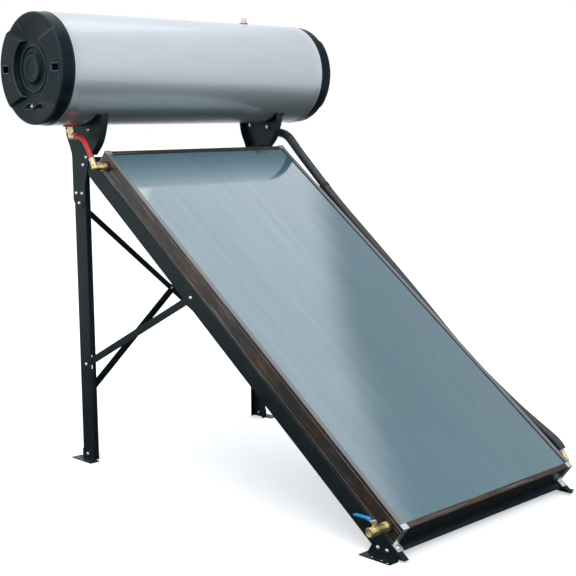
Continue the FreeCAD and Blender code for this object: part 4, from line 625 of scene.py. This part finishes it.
# ---------------------------------------------------------------- turned brass
def turned(name, rings, origin, axis, mat, seg=96, angle=24):
    """Closed turned ring of sections (along, radius, flats): flats 6 gives a hexagon of that half width."""
    axis = Vector(axis).normalized()
    side = Vector((0, 0, 1)) if abs(axis.z) < 0.5 else Vector((1, 0, 0))
    other = axis.cross(side)
    bm = bmesh.new()
    loops = []
    for a, r, flats in rings:
        c = Vector(origin) + axis * (a / 1000)
        loop = []
        for i in range(seg):
            t = 2 * math.pi * i / seg
            k = r
            if flats:
                w = 2 * math.pi / flats
                k = r / math.cos((t % w) - w / 2)
            loop.append(bm.verts.new(c + (side * math.cos(t) + other * math.sin(t)) * (k / 1000)))
        loops.append(loop)
    for p, q in zip(loops, loops[1:] + loops[:1]):
        for i in range(seg):
            j = (i + 1) % seg
            bm.faces.new((p[i], p[j], q[j], q[i]))
    bmesh.ops.recalc_face_normals(bm, faces=bm.faces)
    me = bpy.data.meshes.new(name)
    bm.to_mesh(me)
    bm.free()
    smooth(me, angle)
    return link(name, me, mat)


port = sp(0, 50, -40)
vb_lo, vb_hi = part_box("valve_body")
vs = -vb_hi.x * 1000
VX = 577.0
shape = [(vs, 16.4, 0), (vs + 1.4, 17.2, 6), (vs + 12.2, 17.2, 6), (vs + 13.4, 16.4, 0), (vs + 14.2, 15.0, 0), (vs + 15.6, 15.0, 0),
         (vs + 16.0, 17.2, 0), (vs + 17.0, 17.8, 0), (vs + 19.2, 17.8, 0), (vs + 20.2, 17.2, 0), (vs + 20.8, 15.6, 0),
         (VX - 16, 15.6, 0), (VX - 13, 16.9, 0), (VX + 8.5, 16.9, 0), (VX + 10, 15.6, 0), (VX + 12.4, 15.6, 0), (VX + 13.0, 17.0, 0),
         (VX + 14.0, 17.6, 0), (VX + 24.4, 17.6, 0), (VX + 25.6, 16.9, 0), (VX + 26, 15.9, 0), (VX + 26, 12.4, 0), (VX + 24.6, 10.6, 0),
         (VX + 15, 10.6, 0), (VX + 15, 13.1, 0), (VX - 15, 13.1, 0), (VX - 15, 11.2, 0), (vs, 11.2, 0)]
barrel = turned("valve_barrel", shape, (0, port.y, port.z), (-1, 0, 0), "brass")
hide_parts("valve_body")
neck = [(14.0, 8.0, 0), (20.0, 8.0, 0), (20.6, 7.4, 0), (21.4, 7.4, 0), (22.0, 8.0, 0), (25.2, 8.0, 0), (26.0, 7.2, 0), (26.0, 4.6, 0), (14.0, 4.6, 0)]
collar = turned("valve_neck", neck, (-VX / 1000, port.y, port.z), (0, 0, 1), "brass", 64)
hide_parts("valve_body")
high = sp(0, 1950, -40)
for tag, y, z, s in (("left", high.y, high.z, -1), ("right", port.y, port.z, 1)):
    for i, (a, r) in enumerate(((17.2, 16.8), (22.4, 15.8))):
        ring = [(vs + a, r - 3.0, 0), (vs + a, r - 0.7, 0), (vs + a + 0.7, r, 0), (vs + a + 2.0, r, 0), (vs + a + 2.7, r - 0.7, 0), (vs + a + 2.7, r - 3.0, 0)]
        ob = turned("union_ring_%s_%d" % (tag, i), ring, (0, y, z), (s, 0, 0), "brass", 64)
        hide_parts("collector_elbows")


# ---------------------------------------------------------------- hoses
def hose(name, pts, radius_mm, mat, node, body=BODY):
    cu = bpy.data.curves.new(name, "CURVE")
    cu.dimensions = "3D"
    cu.bevel_depth = radius_mm / 1000
    cu.bevel_resolution = 12
    cu.resolution_u = 24
    cu.use_fill_caps = True
    spn = cu.splines.new("NURBS")
    spn.points.add(len(pts) - 1)
    for p, q in zip(spn.points, pts):
        p.co = (q[0], q[1], q[2], 1.0)
    spn.order_u = 3
    spn.use_endpoint_u = True
    cu.materials.append(M[mat])
    ob = bpy.data.objects.new(name, cu)
    bpy.context.scene.collection.objects.link(ob)
    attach(ob, body)
    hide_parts(node)
    return ob


TE_Z = TANK.z - 0.2712
TE_END = TANK.y - 0.0204
ul = sp(0, 1950, -40)
hs = Vector((-0.566, ul.y + 0.5 * 0.024, ul.z + 0.8660254 * 0.024))
hose("hot_hose", [hs, hs + Vector((0, 0.5, 0.8660254)) * 0.091, (-0.566, TANK.y - 0.0644, TE_Z), (-0.566, TE_END, TE_Z)],
     9.5, "red_hose", "red_hose")

lr = sp(0, 50, -40)
low = sp(0, 110, -14)
pd = (low - lr).normalized()
pe = Vector((0.557, lr.y, lr.z)) + pd * 0.034
route = [(1960, 16, 553), (1780, 3, 547.5), (1600, -12, 545), (1370, -19, 545.5), (1140, -26, 545), (930, -37, 545.5),
         (760, -48.5, 545), (600, -52.5, 545.5), (440, -44, 545), (300, -33.5, 546.5), (190, -19, 550)]
a0 = Vector((0.566, TE_END, TE_Z))
a1 = Vector((0.563, TANK.y - 0.1044, TE_Z + 0.0015))
pts = [a0 + (a1 - a0).normalized() * 0.012, a1] + [sp(x, v, w) for v, w, x in route] + [pe + pd * 0.034, pe + pd * 0.010]
hose("foam_sleeve", pts, 19.5, "foam_skin", "return_insulation")

# ---------------------------------------------------------------- floor, light, camera
def floor_material():
    """White studio floor; it throws back little light, so undersides stay dark."""
    n = Nodes("pale_floor")
    lp = n.add("LightPath").outputs["Is Camera Ray"]
    seen = n.add("BsdfDiffuse", {"Color": (0.95, 0.955, 0.96, 1)})
    glow = n.add("Emission", {"Color": (0.97, 0.98, 1.0, 1), "Strength": 0.42})
    both = n.add("AddShader")
    n.t.links.new(seen.outputs[0], both.inputs[0])
    n.t.links.new(glow.outputs[0], both.inputs[1])
    near = n.add("BsdfDiffuse", {"Color": (0.06, 0.066, 0.07, 1)})
    far = n.add("Emission", {"Color": (0.93, 0.97, 1.0, 1), "Strength": 0.80})
    c = n.add("SeparateXYZ", {"Vector": n.add("TexCoord").outputs["Object"]})
    rad = n.math("SQRT", n.math("ADD", n.math("POWER", c.outputs["X"], 2.0), n.math("POWER", c.outputs["Y"], 2.0)))
    dim = n.add("MixShader", {0: n.fit(rad, 2.6, 4.6, 0.0, 1.0)})
    n.t.links.new(near.outputs[0], dim.inputs[1])
    n.t.links.new(far.outputs[0], dim.inputs[2])
    mx = n.add("MixShader", {0: lp})
    n.t.links.new(dim.outputs[0], mx.inputs[1])
    n.t.links.new(both.outputs[0], mx.inputs[2])
    n.t.links.new(mx.outputs[0], n.out.inputs["Surface"])
    return n.m


fm = bpy.data.meshes.new("studio_floor")
S = 40.0
fm.from_pydata([(-S, -S, 0), (S, -S, 0), (S, S, 0), (-S, S, 0)], [], [(0, 1, 2, 3)])
fm.materials.append(floor_material())
floor = bpy.data.objects.new("studio_floor", fm)
bpy.context.scene.collection.objects.link(floor)

world = bpy.data.worlds.new("studio")
bpy.context.scene.world = world
world.use_nodes = True
wt = world.node_tree
wt.nodes.clear()
wo = wt.nodes.new("ShaderNodeOutputWorld")


def wnode(kind, **values):
    nd = wt.nodes.new("ShaderNode" + kind)
    for k, v in values.items():
        setattr(nd, k, v)
    return nd


# soft sky of even white, with a dim side to the right that leaves half of the glass clear
tc = wnode("TexCoord")
dot = wnode("VectorMath", operation="DOT_PRODUCT")
wt.links.new(tc.outputs["Generated"], dot.inputs[0])
dot.inputs[1].default_value = (0.99967, 0.01698, 0.01939)
edge = wnode("MapRange", interpolation_type="SMOOTHSTEP")
edge.inputs["From Min"].default_value = 0.722
edge.inputs["From Max"].default_value = 0.743
edge.inputs["To Min"].default_value = 1.0
edge.inputs["To Max"].default_value = 0.0
wt.links.new(dot.outputs["Value"], edge.inputs["Value"])
lift = wnode("MapRange")
lift.inputs["From Min"].default_value = 0.74
lift.inputs["From Max"].default_value = 0.95
lift.inputs["To Min"].default_value = 0.33
lift.inputs["To Max"].default_value = 0.55
wt.links.new(dot.outputs["Value"], lift.inputs["Value"])
mx = wnode("Mix", data_type="FLOAT")
wt.links.new(edge.outputs["Result"], mx.inputs[0])
wt.links.new(lift.outputs["Result"], mx.inputs[2])
mx.inputs[3].default_value = 1.05
sky = wnode("Background")
sky.inputs["Color"].default_value = (0.94, 0.97, 1.0, 1)
wt.links.new(mx.outputs[0], sky.inputs["Strength"])
plain = wnode("Background")
plain.inputs["Color"].default_value = (1, 1, 1, 1)
plain.inputs["Strength"].default_value = 1.0
lp = wnode("LightPath")
wm = wnode("MixShader")
wt.links.new(lp.outputs["Is Camera Ray"], wm.inputs[0])
wt.links.new(sky.outputs[0], wm.inputs[1])
wt.links.new(plain.outputs[0], wm.inputs[2])
wt.links.new(wm.outputs[0], wo.inputs[0])


def area(name, pos, target, size, power, color=(1, 1, 1), size_y=None):
    ld = bpy.data.lights.new(name, "AREA")
    ld.energy = power
    ld.color = color
    ld.size = size
    if size_y:
        ld.shape = "RECTANGLE"
        ld.size_y = size_y
    lo = bpy.data.objects.new(name, ld)
    bpy.context.scene.collection.objects.link(lo)
    d = Vector(target) - Vector(pos)
    lo.matrix_world = Matrix.Translation(Vector(pos)) @ d.to_track_quat("-Z", "Y").to_matrix().to_4x4()
    return lo


area("key", (-3.5, -3.0, 6.5), (0, 0, 0.9), 3.5, 70, (1, 0.99, 0.97))
area("overhead", (0.5, 1.0, 6.5), (0, 0, 1.2), 5.0, 40, (1, 1, 1))

cam_data = bpy.data.cameras.new("camera")
cam = bpy.data.objects.new("camera", cam_data)
bpy.context.scene.collection.objects.link(cam)
yaw, pitch, roll = math.radians(44.7605), math.radians(8.6302), math.radians(-0.4547)
fwd = Vector((math.sin(yaw) * math.cos(pitch), math.cos(yaw) * math.cos(pitch), -math.sin(pitch)))
right = Vector((math.cos(yaw), -math.sin(yaw), 0))
upv = right.cross(fwd)
r2 = right * math.cos(roll) + upv * math.sin(roll)
u2 = -right * math.sin(roll) + upv * math.cos(roll)
cam.matrix_world = Matrix(((r2.x, u2.x, -fwd.x, -3.3949), (r2.y, u2.y, -fwd.y, -3.40792), (r2.z, u2.z, -fwd.z, 1.46049), (0, 0, 0, 1)))
cam_data.sensor_width = 36
cam_data.lens = 1194.71 / 576 * 36
cam_data.shift_x = (288 - 297.83) / 576
cam_data.shift_y = (297.26 - 288) / 576
cam_data.clip_start = 0.05
cam_data.clip_end = 200
bpy.context.scene.camera = cam
bpy.context.scene.view_settings.view_transform = "Standard"

bpy.context.view_layer.update()
